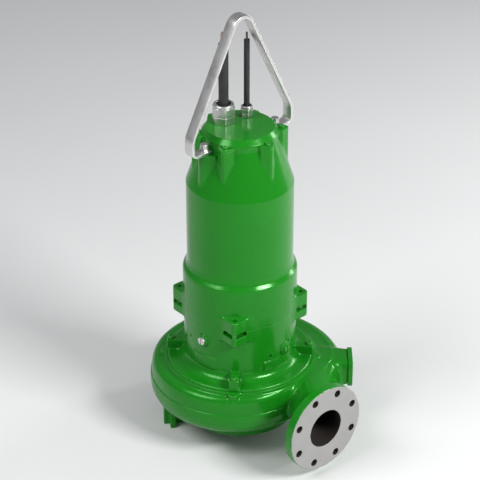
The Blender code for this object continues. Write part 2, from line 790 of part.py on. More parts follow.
def lid():
    """The round cover with a sloping rim and an ear over each screw boss."""
    profile = (
        (0.0, LID_TOP), (LID_FLAT_R, LID_TOP), (LID_FLAT_R + 0.004, LID_TOP - 0.0012),
        (CONE_TOP_R - 0.003, LID_EDGE + 0.0014), (CONE_TOP_R, LID_EDGE - 0.001), (CONE_TOP_R, LID_BOTTOM),
        (0.0, LID_BOTTOM),
    )
    cover = as_piece(turned("cover", profile), "lid", GREEN)
    ears = []
    for number, turn in enumerate(LID_SCREW_TURNS, 1):
        ears.append(boss(f"ear_{number}", SCREW_BOSS, turn, LID_BOTTOM, LID_EAR_TOP))
        at = on_circle(turn, LID_SCREW_CIRCLE_R)
        top = LID_EAR_TOP + GAP + LID_SCREW_TALL
        head = upright("head", LID_SCREW_R, at, LID_EAR_TOP + GAP, top, 16)
        socket = upright(f"socket_{number}", LID_SCREW_R / 2, at, top - 0.003, top + 0.01, 6)
        as_piece(cut(head, [socket]), f"lid_screw_{number}", GREEN)
    join(cover, ears)


def bail_path():
    """The bail's centre line as corners with their bend radii, from one toe to the other."""
    mid = BOSS_TOP + GAP + BAIL_THICK / 2
    right = (
        (BAIL_TOE_X, mid, 0.0),
        (BAIL_LEG_X, mid, BAIL_FOOT_BEND),
        (BAIL_LEG_X, BAIL_ELBOW, BAIL_ELBOW_BEND),
    )
    left = tuple((-x, z, bend) for x, z, bend in reversed(right))
    return (*right, (0.0, BAIL_BARS_MEET, BAIL_TOP_BEND), *left)


def rounded_line(corners, steps=5):
    """Points and normals along a line whose corners are rounded to their radii."""
    line = []
    last = len(corners) - 1
    for index, (x, z, bend) in enumerate(corners):
        here = Vector((x, z))
        if index in (0, last):
            other = corners[1] if index == 0 else corners[last - 1]
            way = Vector((other[0], other[1])) - here
            way = way.normalized() * (1 if index == 0 else -1)
            line.append((here, Vector((way.y, -way.x))))
            continue
        before = (here - Vector(corners[index - 1][:2])).normalized()
        after = (Vector(corners[index + 1][:2]) - here).normalized()
        turn = before.angle_signed(after)
        side = -1.0 if turn > 0 else 1.0
        reach = bend * math.tan(abs(turn) / 2)
        start = here - before * reach
        centre = start + Vector((-before.y, before.x)) * side * bend
        for step in range(steps + 1):
            swing = side * abs(turn) * step / steps
            spoke = start - centre
            spoke.rotate(Matrix.Rotation(swing, 2))
            way = before.copy()
            way.rotate(Matrix.Rotation(swing, 2))
            line.append((centre + spoke, Vector((way.y, -way.x))))
    return line


def bail():
    """A flat bar bent to two feet, two legs and a rounded top, with its two bolts and washers."""
    line = rounded_line(bail_path())
    half = BAIL_THICK / 2
    outline = [tuple(point + normal * half) for point, normal in line]
    outline += [tuple(point - normal * half) for point, normal in reversed(line)]
    strap = plate("strap", outline, -BAIL_WIDE / 2, BAIL_WIDE / 2)
    tilted(strap, Matrix.Rotation(math.radians(90.0), 4, "X"))
    as_piece(bevel(strap, 0.0008), "bail", BARE_STEEL)
    foot_top = BOSS_TOP + GAP + BAIL_THICK
    washer_top = foot_top + GAP + BAIL_WASHER_THICK
    strap_holes = []
    for side, name in ((-1, "left"), (1, "right")):
        at = (side * BAIL_BOLT_X, 0.0)
        strap_holes.append(upright(f"strap_hole_{name}", BAIL_HOLE_R, at, BOSS_TOP - 0.01, foot_top + 0.01, 16))
        washer = upright("washer", BAIL_WASHER_R, at, foot_top + GAP, washer_top, 20)
        cut(washer, [upright(f"washer_hole_{name}", BAIL_HOLE_R, at, BOSS_TOP, foot_top + 0.01, 16)])
        as_piece(washer, f"bail_washer_{name}", BARE_STEEL)
        head_bottom = washer_top + GAP
        head = upright("head", BAIL_HEAD_R, at, head_bottom, head_bottom + BAIL_HEAD_TALL, 6)
        shank = upright(f"bail_shank_{name}", BAIL_SHANK_R, at, BOSS_TOP - 0.028, head_bottom + 0.003, 16)
        as_piece(join(bevel(head, 0.001), [shank]), f"bail_bolt_{name}", BARE_STEEL)
    cut(strap, strap_holes)


def gland(name, at, cable_r, gland_r, collar_top, nut_top):
    """A cable gland: a hexagon body, a domed nut and the rubber seal round the cable."""
    body = upright("body", gland_r, at, LID_TOP + GAP, collar_top - GAP, 6)
    as_piece(bevel(body, 0.0012), f"{name}_gland_body", BARE_STEEL)

    seal_r = cable_r + (gland_r - cable_r) * 0.35
    flats_top = nut_top - 0.010
    nut = upright("nut", gland_r, at, collar_top, flats_top + 0.002, 6)
    crown = upright(f"{name}_crown", gland_r * 0.87, at, flats_top, nut_top, 24)
    hollow = upright(f"{name}_hollow", seal_r + GAP, at, collar_top - 0.01, nut_top + 0.01, 20)
    as_piece(bevel(nut, 0.001), f"{name}_gland_nut", BARE_STEEL)
    join(nut, [bevel(crown, 0.004, 2, 60.0)])
    cut(nut, [hollow])

    seal = upright("seal", seal_r, at, collar_top, nut_top - 0.0035, 20)
    bore = upright(f"{name}_bore", cable_r + GAP, at, collar_top - 0.01, nut_top + 0.01, 16)
    as_piece(cut(seal, [bore]), f"{name}_gland_seal", RUBBER)


def cord(name, radius, at, bottom, top, surface, bends=3):
    """A straight cable or core, as a tube with filled caps."""
    curve = bpy.data.curves.new(name, "CURVE")
    curve.dimensions = "3D"
    curve.bevel_depth = radius
    curve.bevel_resolution = bends
    curve.use_fill_caps = True
    spline = curve.splines.new("POLY")
    steps = max(1, round((top - bottom) / (5 * radius)))
    spline.points.add(steps)
    for index, point in enumerate(spline.points):
        point.co = (at[0], at[1], bottom + (top - bottom) * index / steps, 1.0)
    obj = placed(bpy.data.objects.new(name, curve))
    curve.materials.append(surface)
    PUMP.objects.link(obj)
    return obj


def cables():
    """The two cable stubs, standing in their glands, with their bare core ends."""
    gland("power", POWER_AT, POWER_R, POWER_GLAND_R, POWER_COLLAR, POWER_NUT_TOP)
    gland("control", CONTROL_AT, CONTROL_R, CONTROL_GLAND_R, CONTROL_COLLAR, CONTROL_NUT_TOP)
    cord("power_cable", POWER_R, POWER_AT, POWER_COLLAR, POWER_END, RUBBER)
    cord("control_cable", CONTROL_R, CONTROL_AT, CONTROL_COLLAR, CONTROL_END, RUBBER)
    for number, turn in enumerate(CORE_TURNS, 1):
        spot = on_circle(turn, CORE_SPREAD)
        at = (POWER_AT[0] + spot.x, POWER_AT[1] + spot.y)
        cord(f"power_conductor_{number}", CORE_R, at, POWER_END + GAP, CORE_END, CORE_COLOURS, 2)
    cord("control_core", CORE_R, CONTROL_AT, CONTROL_END + GAP, CORE_END, RUBBER, 2)


for build_piece in (
    volute, wear_ring, impeller, port_cover, seal_housing, plugs, housing_bolts, clamp_bolts,
    motor_housing, lid, bail, cables,
):
    build_piece()
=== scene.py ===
"""Looks of the submersible solids handling pump: glossy green castings, a stainless bail and glands,
two cable stubs and a bare machined outlet flange, on a plain pale floor.

Metres, +Z up. Shapes are described from the pump's axis and moved to the frame's place when they
become pieces.
"""

import math
from collections import namedtuple

import bpy
import numpy as np
from mathutils import Matrix, Vector


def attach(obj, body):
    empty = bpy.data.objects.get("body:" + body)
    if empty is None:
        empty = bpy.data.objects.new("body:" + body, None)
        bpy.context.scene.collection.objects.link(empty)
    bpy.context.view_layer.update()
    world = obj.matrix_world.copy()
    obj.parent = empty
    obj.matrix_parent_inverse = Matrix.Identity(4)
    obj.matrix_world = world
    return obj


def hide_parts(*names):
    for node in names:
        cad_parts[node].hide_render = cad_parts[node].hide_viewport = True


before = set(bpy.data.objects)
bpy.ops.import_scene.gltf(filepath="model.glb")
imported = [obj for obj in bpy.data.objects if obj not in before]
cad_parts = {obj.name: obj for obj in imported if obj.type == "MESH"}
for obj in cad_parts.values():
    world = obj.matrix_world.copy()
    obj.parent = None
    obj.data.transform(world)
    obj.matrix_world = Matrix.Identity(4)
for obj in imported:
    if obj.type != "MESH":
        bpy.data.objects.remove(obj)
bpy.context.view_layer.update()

AXIS_X = -0.02055
AXIS_Y = 0.04316
TO_FRAME = Matrix.Translation((AXIS_X, AXIS_Y, 0.0))
GAP = 0.0003

# Outlet
OUTLET_Z = 0.1375
OUTLET_REACH = 0.331
FLANGE_R = 0.1143
FLANGE_THICK = 0.024
FLANGE_BOLT_CIRCLE_R = 0.09525
FLANGE_HOLE_R = 0.0095
FLANGE_HOLES = 8
BORE_R = 0.0508
NECK_R = 0.065
NECK_ROOT_R = 0.052
BORE_ROOT_R = 0.041
BORE_START = 0.1
NECK_LINE = ((0.175, -0.060), (0.145, -0.168), (0.0, -0.245), (0.0, -OUTLET_REACH))

# Suction flange
SUCTION_BOTTOM = 0.039
SUCTION_TOP = 0.061
SUCTION_R = 0.148
SUCTION_BOLT_CIRCLE_R = 0.130
SUCTION_HOLE_R = 0.0105
SUCTION_HOLES = 8
SUCTION_HUB_R = 0.110
SUCTION_BORE_R = 0.070
WEAR_SEAT_R = 0.078
WEAR_SEAT_Z = 0.080

# Scroll casing
CASING_BOTTOM = 0.0815
CASING_TOP = 0.190
CASING_RING_R = 0.192
CASING_RING_TOP = 0.2005
CUTWATER_TURN = -4.0
SCROLL_SWEEP = 300.0
SCROLL_R_START = 0.2045
SCROLL_R_END = 0.273
WALL = 0.013
CASING_MOUTH_R = 0.165
CHAMBER_R = 0.130
CLAMP_BOSS_R = 0.0156
CLAMP_BOSS_OUT = 0.0125
LEDGE_Z = 0.1430
LEDGE_TALL = 0.0025
LEDGE_DEEP = 0.0024

# The scroll's wall as (height, inset from its widest, further inset at the sweep's far end)
SCROLL_WALL = (
    (CASING_BOTTOM, 0.0305, 0.004),
    (0.0845, 0.0195, 0.002),
    (0.0895, 0.0115, 0.001),
    (0.0970, 0.0055, 0.0005),
    (0.1100, 0.0015, 0.0),
    (0.1250, 0.0, 0.0),
    (0.1600, 0.0003, 0.0020),
    (0.1720, 0.0007, 0.006),
    (0.1800, 0.0016, 0.010),
    (0.1860, 0.0038, 0.016),
    (CASING_TOP, 0.0071, 0.026),
)

# Feet, each as (name, turn, height)
FOOT_RIB = 0.014
FOOT_OUTWARD = 0.021
FOOT_INWARD = 0.029
FOOT_ACROSS = 0.029
FOOT_EDGE = 0.0022
FOOT_R = 0.182
FLOOR_GAP = 0.0004
FEET = (("neck", 0.0, 0.086), ("left", -120.0, 0.094), ("right", 120.0, 0.094))
NECK_FOOT = (0.022, -0.232)

# Side port
PORT_TURN = 50.0
PORT_REACH = 0.291
PORT_Z = 0.153
PORT_SIZE = 0.082
PORT_PLATE = 0.012
PORT_CORNER = 0.010
PORT_SCREW_REACH = PORT_SIZE / 2 - 0.012
PORT_STUB_SIZE = PORT_SIZE - 0.008
PORT_STUB_START = 0.19
PORT_STUB_CORNER = PORT_CORNER - 0.002
PORT_SINK_R = 0.0068
PORT_SINK_DEEP = 0.0045

# Seal housing
CLAMP_FLANGE_R = 0.186
CLAMP_FLANGE_TOP = 0.2065
SEAL_BODY_R = 0.143
SPIGOT_BOTTOM = 0.184
LUG_TURNS = (-45.0, 45.0, 135.0, -135.0)
CLAMP_LUG_TOP = 0.2335
CLAMP_BOLT_R = 0.178
CLAMP_LUG_WIDE = 0.024
CLAMP_LUG_DEEP = 0.046
PLUG_FACE_R = 0.1475
PLUG_BOSS_R = 0.0155
PLUG_BOSS_ROOT = 0.12
PLUG_R = 0.0105
PLUG_TALL = 0.0057
PLUG_SLOT = 0.0028

# Low cast pads on its side as (turn, width, bottom, top, face from the axis)
SIDE_PADS = ((-80.0, 0.070, 0.230, 0.262, 0.1452), (-6.5, 0.044, 0.228, 0.252, 0.1468))

# Small tapped holes as (turn, height, bottom from the axis)
TAPPED_HOLES = ((-100.4, 0.2952, 0.128), (18.7, 0.2829, 0.128), (-7.4, 0.2648, 0.130))
TAPPED_R = 0.0032
TAPPED_MOUTH = 0.16

# Corner lugs
LUG_BOTTOM = 0.3235
SEAM = 0.3565
LUG_TOP = 0.391
LUG_HALF = 0.1244
LUG_ROOT = 0.055
LUG_ROUND = 0.012
LUG_BOLT_R = 0.1535
HOUSING_BOLT_R = 0.0045
LUG_HOLE_R = HOUSING_BOLT_R + 0.0012
PRY_SLOT_TALL = 0.012
PRY_SLOT_LONG = 0.034
PRY_SLOT_DEEP = 0.018
PRY_PILLAR = 0.008

# Motor housing
LOWER_R = 0.1444
LEDGE_BOTTOM = 0.4575
LEDGE_TOP = 0.4935
UPPER_R = 0.1333
CONE_TOP = 0.8225
CONE_TOP_R = 0.0945
BOSS_BOTTOM = 0.690
BOSS_TOP = 0.8125

# Bosses in plan as (half width, reach of the point where their 45 degree sides would meet, its round)
BAIL_BOSS = (0.030, 0.132, 0.0157)
SCREW_BOSS = (0.0206, 0.122, 0.0077)
BOSS_ROOT = 0.065
SCREW_BOSS_BOTTOM = 0.730

# Lid
LID_BOTTOM = 0.8345
LID_EDGE = 0.8405
LID_TOP = 0.8525
LID_FLAT_R = 0.083
LID_EAR_TOP = 0.8385
LID_SCREWS = 6
LID_SCREW_CIRCLE_R = 0.1035

# Bail
BAIL_BOLT_X = 0.112
BAIL_HOLE_R = 0.0063
BAIL_THICK = 0.008
BAIL_WIDE = 0.030
BAIL_EASE = 0.0012
BAIL_TOE_X = 0.0995
BAIL_LEG_X = 0.155
BAIL_FOOT_BEND = 0.014
BAIL_ELBOW = 0.862
BAIL_ELBOW_BEND = 0.050
BAIL_BARS_MEET = 1.1735
BAIL_TOP_BEND = 0.030
BAIL_STEP = 0.008
BAIL_WASHER_THICK = 0.0027

# Hexagon heads as (radius at the corners, height, shank's radius, shank's bottom)
CLAMP_HEAD = (0.0090, 0.0065)
HOUSING_HEAD = (0.0085, 0.0065, HOUSING_BOLT_R, -0.0595)
BAIL_HEAD = (0.0110, 0.0132, 0.006, -0.0385)
HEX = 0.866

# Edges stay sharp where faces meet at more than this many degrees
HEAD_SHARP = 28.0
BAIL_SHARP = 50.0

# Socket heads as (radius, height, depth of the socket)
LID_HEAD = (0.0060, 0.0050, 0.003)
PORT_HEAD = (0.0062, 0.006, 0.003)
PORT_HEAD_SUNK = 0.006

# Glands: where the seal's edge lies between cable and body, and shares of the radius at the corners
SEAL_SHARE = 0.35
GLAND_TURNED = 0.985
GLAND_DOME = 0.87

# Cable stubs: place, radii of cable and gland, heights of the gland's collar, its top and the cut end
Stub = namedtuple("Stub", "name at cable_r gland_r collar nut_top end")
POWER = Stub("power", (-0.018, 0.040), 0.01225, 0.0295, 0.872, 0.9025, 1.0575)
CONTROL = Stub("control", (0.044, 0.027), 0.00725, 0.0163, 0.864, 0.8835, 1.0555)
CORE_R = 0.0028
CORE_SPREAD = 0.0058
CORE_END = 1.0845
CONTROL_CORE_END = 1.0740

# The power cable's cores as (name, turn about its middle, colour)
CORES = (
    ("power_core_orange", -80.0, (0.66, 0.28, 0.17)),
    ("power_core_tan", 40.0, (0.52, 0.22, 0.14)),
    ("power_core_rose", 160.0, (0.72, 0.42, 0.34)),
)

# Floor and lights, and the camera as solved from the photograph
FLOOR_HALF = 30.0
LIGHT_AIM = Vector((0.0, 0.0, 0.5))
AIM_Z = 0.5325
CAMERA_PITCH = 29.84
CAMERA_AWAY = 4.596
CAMERA_PLAN = Vector((-0.6443, -0.7648)).normalized()
CAMERA_LENS = 137.93
SENSOR_WIDTH = 36.0


def on_circle(turn, radius, height=0.0):
    """The point at this turn in degrees from the outlet's side, counted toward +X."""
    angle = math.radians(turn)
    return Vector((radius * math.sin(angle), -radius * math.cos(angle), height))


def in_frame(point):
    """A point given from the pump's axis, in the frame's place."""
    return Vector((point[0] + AXIS_X, point[1] + AXIS_Y, point[2]))


# Finishes


class Measure:
    """A number that varies over a surface. Sums on it add Math nodes to its finish."""

    def __init__(self, finish, socket):
        self.finish = finish
        self.socket = socket

    def maths(self, operation, *values):
        node = self.finish.add("ShaderNodeMath", {"operation": operation}, dict(enumerate(values)))
        return Measure(self.finish, node.outputs[0])

    def __add__(self, other):
        return self.maths("ADD", self, other)

    __radd__ = __add__

    def __sub__(self, other):
        return self.maths("SUBTRACT", self, other)

    def __rsub__(self, other):
        return self.maths("SUBTRACT", other, self)

    def __mul__(self, other):
        return self.maths("MULTIPLY", self, other)

    __rmul__ = __mul__

    def __pow__(self, other):
        return self.maths("POWER", self, other)

    def between(self, low, high):
        """0 at low and 1 at high, eased."""
        settings = {"interpolation_type": "SMOOTHSTEP"}
        inputs = {"Value": self, "From Min": low, "From Max": high}
        node = self.finish.add("ShaderNodeMapRange", settings, inputs)
        return Measure(self.finish, node.outputs["Result"])


class Nodes:
    """A node tree under construction."""

    def __init__(self, tree):
        self.tree = tree

    def add(self, kind, settings=None, inputs=None):
        """One node of this type: its settings first, then the values or links of its sockets."""
        node = self.tree.nodes.new(kind)
        for name, value in (settings or {}).items():
            setattr(node, name, value)
        for name, value in (inputs or {}).items():
            self.feed(node.inputs[name], value)
        return node

    def feed(self, socket, value):
        if isinstance(value, Measure):
            value = value.socket
        if isinstance(value, bpy.types.NodeSocket):
            self.tree.links.new(value, socket)
        else:
            socket.default_value = value


class Finish(Nodes):
    """A node material under construction, with its shader's constants set at the start."""

    def __init__(self, name, **constants):
        self.material = bpy.data.materials.new(name)
        self.material.use_nodes = True
        super().__init__(self.material.node_tree)
        self.shader = self.tree.nodes["Principled BSDF"]
        for socket, value in constants.items():
            self.shader.inputs[socket.replace("_", " ")].default_value = value
        self.place = self.add("ShaderNodeTexCoord").outputs["Object"]

    def noise(self, scale, detail=3.0, roughness=0.5, stretch=(1.0, 1.0, 1.0), shift=0.0):
        """Noise with its grains this many to the metre, drawn out by a stretch."""
        vector = self.place
        if stretch != (1.0, 1.0, 1.0) or shift:
            inputs = {"Vector": vector, "Scale": stretch, "Location": (shift, shift, shift)}
            vector = self.add("ShaderNodeMapping", None, inputs).outputs["Vector"]
        inputs = {"Vector": vector, "Scale": scale, "Detail": detail, "Roughness": roughness}
        return Measure(self, self.add("ShaderNodeTexNoise", None, inputs).outputs["Fac"])

    def edges(self, low, high):
        """1 where the surface turns sharply outward, as at an edge."""
        node = self.add("ShaderNodeNewGeometry")
        return Measure(self, node.outputs["Pointiness"]).between(low, high)

    def blend(self, share, first, second):
        """A colour that goes from the first to the second with the share."""
        node = self.add("ShaderNodeMix", {"data_type": "RGBA"})
        for number, value in ((0, share), (6, first), (7, second)):
            self.feed(node.inputs[number], (*value, 1.0) if isinstance(value, tuple) else value)
        return node.outputs[2]

    def axes(self):
        """The three parts of the place on the piece."""
        node = self.add("ShaderNodeSeparateXYZ", None, {"Vector": self.place})
        return [Measure(self, output) for output in node.outputs]

    def relief(self, *layers):
        """Bumps on the normal, each as (height measure, depth in metres, strength)."""
        normal = None
        for height, depth, strength in layers:
            inputs = {"Height": height, "Distance": depth, "Strength": strength}
            if normal is not None:
                inputs["Normal"] = normal
            normal = self.add("ShaderNodeBump", None, inputs).outputs["Normal"]
        self.feed(self.shader.inputs["Normal"], normal)

    def colour_and_roughness(self, colour, roughness, metallic=None):
        """What varies over the surface: colour, roughness and metalness; the colour carries painted
        highlights and shade in some finishes.
        """
        self.feed(self.shader.inputs["Base Color"], colour)
        self.feed(self.shader.inputs["Roughness"], roughness)
        if metallic is not None:
            self.feed(self.shader.inputs["Metallic"], metallic)


def green_paint():
    """Thick glossy enamel over sand-cast iron, with painted highlights on its sharp edges and painted shade
    in its hollows.
    """
    finish = Finish(
        "green_enamel", Coat_Roughness=0.12, Coat_Weight=0.06, IOR=1.5, Specular_Tint=(0.42, 1.0, 0.42, 1.0),
    )
    drift = finish.noise(7.0, 2.0)
    swell = finish.noise(38.0, 2.0, shift=1.7)
    cast = finish.noise(130.0, 4.0, 0.6)
    grain = finish.noise(420.0, 2.0)
    peel = finish.noise(900.0, 1.0, shift=3.1)
    pits = finish.noise(260.0, 2.0, shift=5.3).between(0.66, 0.74)
    # Painted highlight: sharp outward edges lightened to a pale green.
    edge = finish.edges(0.52, 0.60)
    # Painted shade: hollows and creases, where the surface turns inward, darkened.
    hollow = finish.edges(0.49, 0.44)
    base = finish.blend(drift, (0.006, 0.170, 0.006), (0.009, 0.220, 0.009))
    base = finish.blend(cast.between(0.30, 0.75) * 0.30, base, (0.008, 0.140, 0.008))
    # Painted shade in the hollows.
    base = finish.blend(hollow * 0.45, base, (0.006, 0.085, 0.006))
    # Painted highlight on the sharp edges.
    base = finish.blend(edge * 0.45, base, (0.085, 0.400, 0.080))
    base = finish.blend(pits * 0.5, base, (0.006, 0.080, 0.006))
    finish.colour_and_roughness(base, 0.12 + drift * 0.06 + grain * 0.09)
    finish.relief((swell, 0.0010, 0.20), (cast, 0.0007, 0.35), (grain, 0.0002, 0.30), (peel, 0.0001, 0.25))
    return finish.material


def bare_face():
    """The flange's machined face: pale steel with rings left by the turning tool."""
    finish = Finish("machined_face", Metallic=0.35)
    x, y, z = finish.axes()
    across = x - AXIS_X
    up = z - OUTLET_Z
    radius = (across * across + up * up) ** 0.5
    rings = radius.maths("SINE", radius * 3900.0) * 0.5 + 0.5
    haze = finish.noise(22.0, 4.0, 0.6)
    grain = finish.noise(700.0, 3.0)
    base = finish.blend(haze, (0.34, 0.335, 0.325), (0.42, 0.415, 0.405))
    base = finish.blend(grain * 0.25, base, (0.28, 0.275, 0.265))
    finish.colour_and_roughness(base, 0.46 + haze * 0.12 - rings * 0.06)
    finish.relief((rings, 0.00006, 0.5), (grain, 0.00008, 0.3))
    return finish.material


def bore_in_painted_shade():
    """Unpainted cast iron made near-black as painted shade, for the bore, the flange's bolt holes and the
    casing's inside.
    """
    finish = Finish("cast_bore_painted_shade", Metallic=0.2)
    cast = finish.noise(130.0, 5.0, 0.65)
    finish.colour_and_roughness(finish.blend(cast, (0.020, 0.017, 0.014), (0.052, 0.044, 0.036)), 0.55 + cast * 0.2)
    finish.relief((cast, 0.0010, 0.5))
    return finish.material


def brushed_steel(name, stretch, tone):
    """Stainless with fine brush lines drawn out along the piece, dark blotches as painted reflections and
    painted highlights on its edges.
    """
    finish = Finish(name, Metallic=1.0)
    lines = finish.noise(420.0, 5.0, 0.7, stretch)
    smears = finish.noise(28.0, 3.0, 0.5)
    # Painted reflection: broad dark blotches stand for the surroundings mirrored in the steel.
    painted_reflection_blotches = finish.noise(17.0, 4.0, 0.6, shift=2.3).between(0.50, 0.66)
    spots = finish.noise(160.0, 2.0).between(0.62, 0.75)
    # Painted highlight: sharp outward edges lightened almost to white.
    edge = finish.edges(0.53, 0.62)
    pale = (tone * 1.12, tone * 1.11, tone * 1.09)
    deep = (tone * 0.70, tone * 0.69, tone * 0.68)
    base = finish.blend(lines * 0.75 + smears * 0.25, deep, pale)
    # Painted reflection blotches.
    base = finish.blend(painted_reflection_blotches * 0.32, base, (0.24, 0.24, 0.235))
    base = finish.blend(spots * 0.30, base, (0.24, 0.235, 0.23))
    # Painted highlight on the edges.
    base = finish.blend(edge * 0.6, base, (0.90, 0.90, 0.89))
    finish.colour_and_roughness(base, 0.20 + lines * 0.14 + smears * 0.12)
    finish.relief((lines, 0.00014, 0.40), (smears, 0.0005, 0.14))
    return finish.material


def cable_rubber():
    """Matte black cable sheath with faint drawn lines along it."""
    finish = Finish("cable_sheath", Specular_IOR_Level=0.45)
    lines = finish.noise(900.0, 3.0, 0.6, (1.0, 1.0, 0.02))
    dust = finish.noise(60.0, 4.0, 0.6)
    base = finish.blend(dust.between(0.35, 0.85) * 0.5, (0.018, 0.018, 0.019), (0.050, 0.049, 0.047))
    finish.colour_and_roughness(base, 0.48 + dust * 0.14)
    finish.relief((lines, 0.00012, 0.5), (dust, 0.0004, 0.15))
    return finish.material


def core_colour(name, colour, bare_share=1.0):
    """The coloured sheath of one core, copper at its cut end."""
    finish = Finish(name)
    x, y, z = finish.axes()
    bare = z.between(CORE_END - 0.0125, CORE_END - 0.0120) * bare_share
    strands = finish.noise(1500.0, 2.0, 0.5, (1.0, 1.0, 0.12))
    tint = finish.noise(180.0, 2.0)
    sheath = finish.blend(tint, tuple(channel * 0.7 for channel in colour), colour)
    copper = finish.blend(strands, (0.42, 0.19, 0.12), (0.78, 0.44, 0.32))
    finish.colour_and_roughness(finish.blend(bare, sheath, copper), 0.45 - bare * 0.12, bare)
    finish.relief((strands * bare, 0.0004, 0.6), (tint, 0.0002, 0.2))
    return finish.material


GREEN = green_paint()
BARE_FACE = bare_face()
BORE_IN_PAINTED_SHADE = bore_in_painted_shade()
BAIL_STEEL = brushed_steel("bail_steel", (0.05, 1.0, 0.05), 0.78)
FITTING_STEEL = brushed_steel("fitting_steel", (0.15, 0.15, 1.0), 0.70)
RUBBER = cable_rubber()


# Fields give the distance to a shape's surface, below zero inside it


def united(first, second, blend=0.0):
    """Two shapes as one, with a fillet of about this size where they meet."""
    if blend <= 0.0:
        return np.minimum(first, second)
    share = np.clip(0.5 + 0.5 * (second - first) / blend, 0.0, 1.0)
    return second * (1.0 - share) + first * share - blend * share * (1.0 - share)


def less(first, second, blend=0.0):
    """The first shape without the second."""
    return -united(-first, second, blend)


def common(first, second, blend):
    """What two shapes share."""
    return -united(-first, -second, blend)


def outline_field(u, v, points):
    """Distance to a closed outline in the plane."""
    nearest = np.full(np.broadcast(u, v).shape, 1e9)
    inside = np.zeros(nearest.shape, bool)
    for index in range(len(points)):
        u0, v0 = points[index - 1]
        u1, v1 = points[index]
        du, dv = u1 - u0, v1 - v0
        length = du * du + dv * dv
        if length < 1e-14:
            continue
        pu, pv = u - u0, v - v0
        share = np.clip((pu * du + pv * dv) / length, 0.0, 1.0)
        gap_u = pu - share * du
        gap_v = pv - share * dv
        nearest = np.minimum(nearest, gap_u * gap_u + gap_v * gap_v)
        if dv != 0.0:
            spans = (v0 <= v) != (v1 <= v)
            inside ^= spans & (u < u0 + pv * du / dv)
    return np.where(inside, -1.0, 1.0) * np.sqrt(nearest)


def level(z, low, high):
    """Between two heights."""
    return np.maximum(low - z, z - high)


def capped(side, ends, edge=0.0):
    """A shape that is both within its side wall and between its ends, its edges rounded."""
    if edge <= 0.0:
        return np.maximum(side, ends)
    a = np.maximum(side + edge, 0.0)
    b = np.maximum(ends + edge, 0.0)
    return np.minimum(np.maximum(side, ends) + edge, 0.0) + np.sqrt(a * a + b * b) - edge


def pillar(x, y, z, at, radius, low, high, edge=0.0):
    """An upright cylinder."""
    return capped(np.hypot(x - at[0], y - at[1]) - radius, level(z, low, high), edge)


def bar(x, y, z, start, end, radius, edge=0.0):
    """A cylinder between two points."""
    start = np.array(start, float)
    along = np.array(end, float) - start
    length = np.linalg.norm(along)
    along /= length
    px, py, pz = x - start[0], y - start[1], z - start[2]
    down = px * along[0] + py * along[1] + pz * along[2]
    out = np.sqrt(np.maximum(px * px + py * py + pz * pz - down * down, 0.0))
    return capped(out - radius, level(down, 0.0, length), edge)


def slab(x, y, z, centre, size, turn, edge):
    """A box turned about the vertical, its edges rounded."""
    angle = math.radians(turn)
    px, py, pz = x - centre[0], y - centre[1], z - centre[2]
    u = np.abs(px * math.cos(angle) + py * math.sin(angle)) - size[0] / 2 + edge
    v = np.abs(py * math.cos(angle) - px * math.sin(angle)) - size[1] / 2 + edge
    w = np.abs(pz) - size[2] / 2 + edge
    outside = np.sqrt(np.maximum(u, 0) ** 2 + np.maximum(v, 0) ** 2 + np.maximum(w, 0) ** 2)
    return outside + np.minimum(np.maximum(np.maximum(u, v), w), 0.0) - edge


def hexagon(u, v, corner_radius):
    """A hexagon about the origin with a corner toward +u."""
    half_root = math.sqrt(3) / 2
    slopes = np.maximum(np.abs(u * half_root + v / 2), np.abs(u * half_root - v / 2))
    return np.maximum(np.abs(v), slopes) - corner_radius * half_root


def within(x, y, z, low, high, field):
    """The field near its box only, and far away outside it."""
    near = (x >= low[0]) & (x <= high[0]) & (y >= low[1]) & (y <= high[1]) & (z >= low[2]) & (z <= high[2])
    result = np.full(x.shape, 0.05)
    if near.any():
        result[near] = field(x[near], y[near], z[near])
    return result


def rounded(corners, closed=True, step=6.0):
    """A line through corners given as (x, z, bend), each corner an arc of its bend."""
    count = len(corners)
    line = []
    for index, corner in enumerate(corners):
        here = Vector(corner[:2])
        bend = corner[2] if len(corner) > 2 else 0.0
        if bend <= 0.0 or (not closed and index in (0, count - 1)):
            line.append(tuple(here))
            continue
        before = (here - Vector(corners[index - 1][:2])).normalized()
        after = (Vector(corners[(index + 1) % count][:2]) - here).normalized()
        turn = math.atan2(before.x * after.y - before.y * after.x, before.dot(after))
        side = 1.0 if turn > 0 else -1.0
        start = here - before * bend * math.tan(abs(turn) / 2)
        centre = start + Vector((-before.y, before.x)) * side * bend
        spoke = start - centre
        steps = max(2, math.ceil(math.degrees(abs(turn)) / step))
        for number in range(steps + 1):
            swing = turn * number / steps
            line.append((
                centre.x + spoke.x * math.cos(swing) - spoke.y * math.sin(swing),
                centre.y + spoke.x * math.sin(swing) + spoke.y * math.cos(swing),
            ))
    return line


def turned(x, y, z, profile):
    """A shape turned about the pump's axis from its profile."""
    return outline_field(np.hypot(x, y), z, profile)


# From a field to a piece

# A point is drawn a little toward its cell's middle, and strays from it by this many cells at most
PULL_TO_MIDDLE = 0.08
STRAY = 0.6


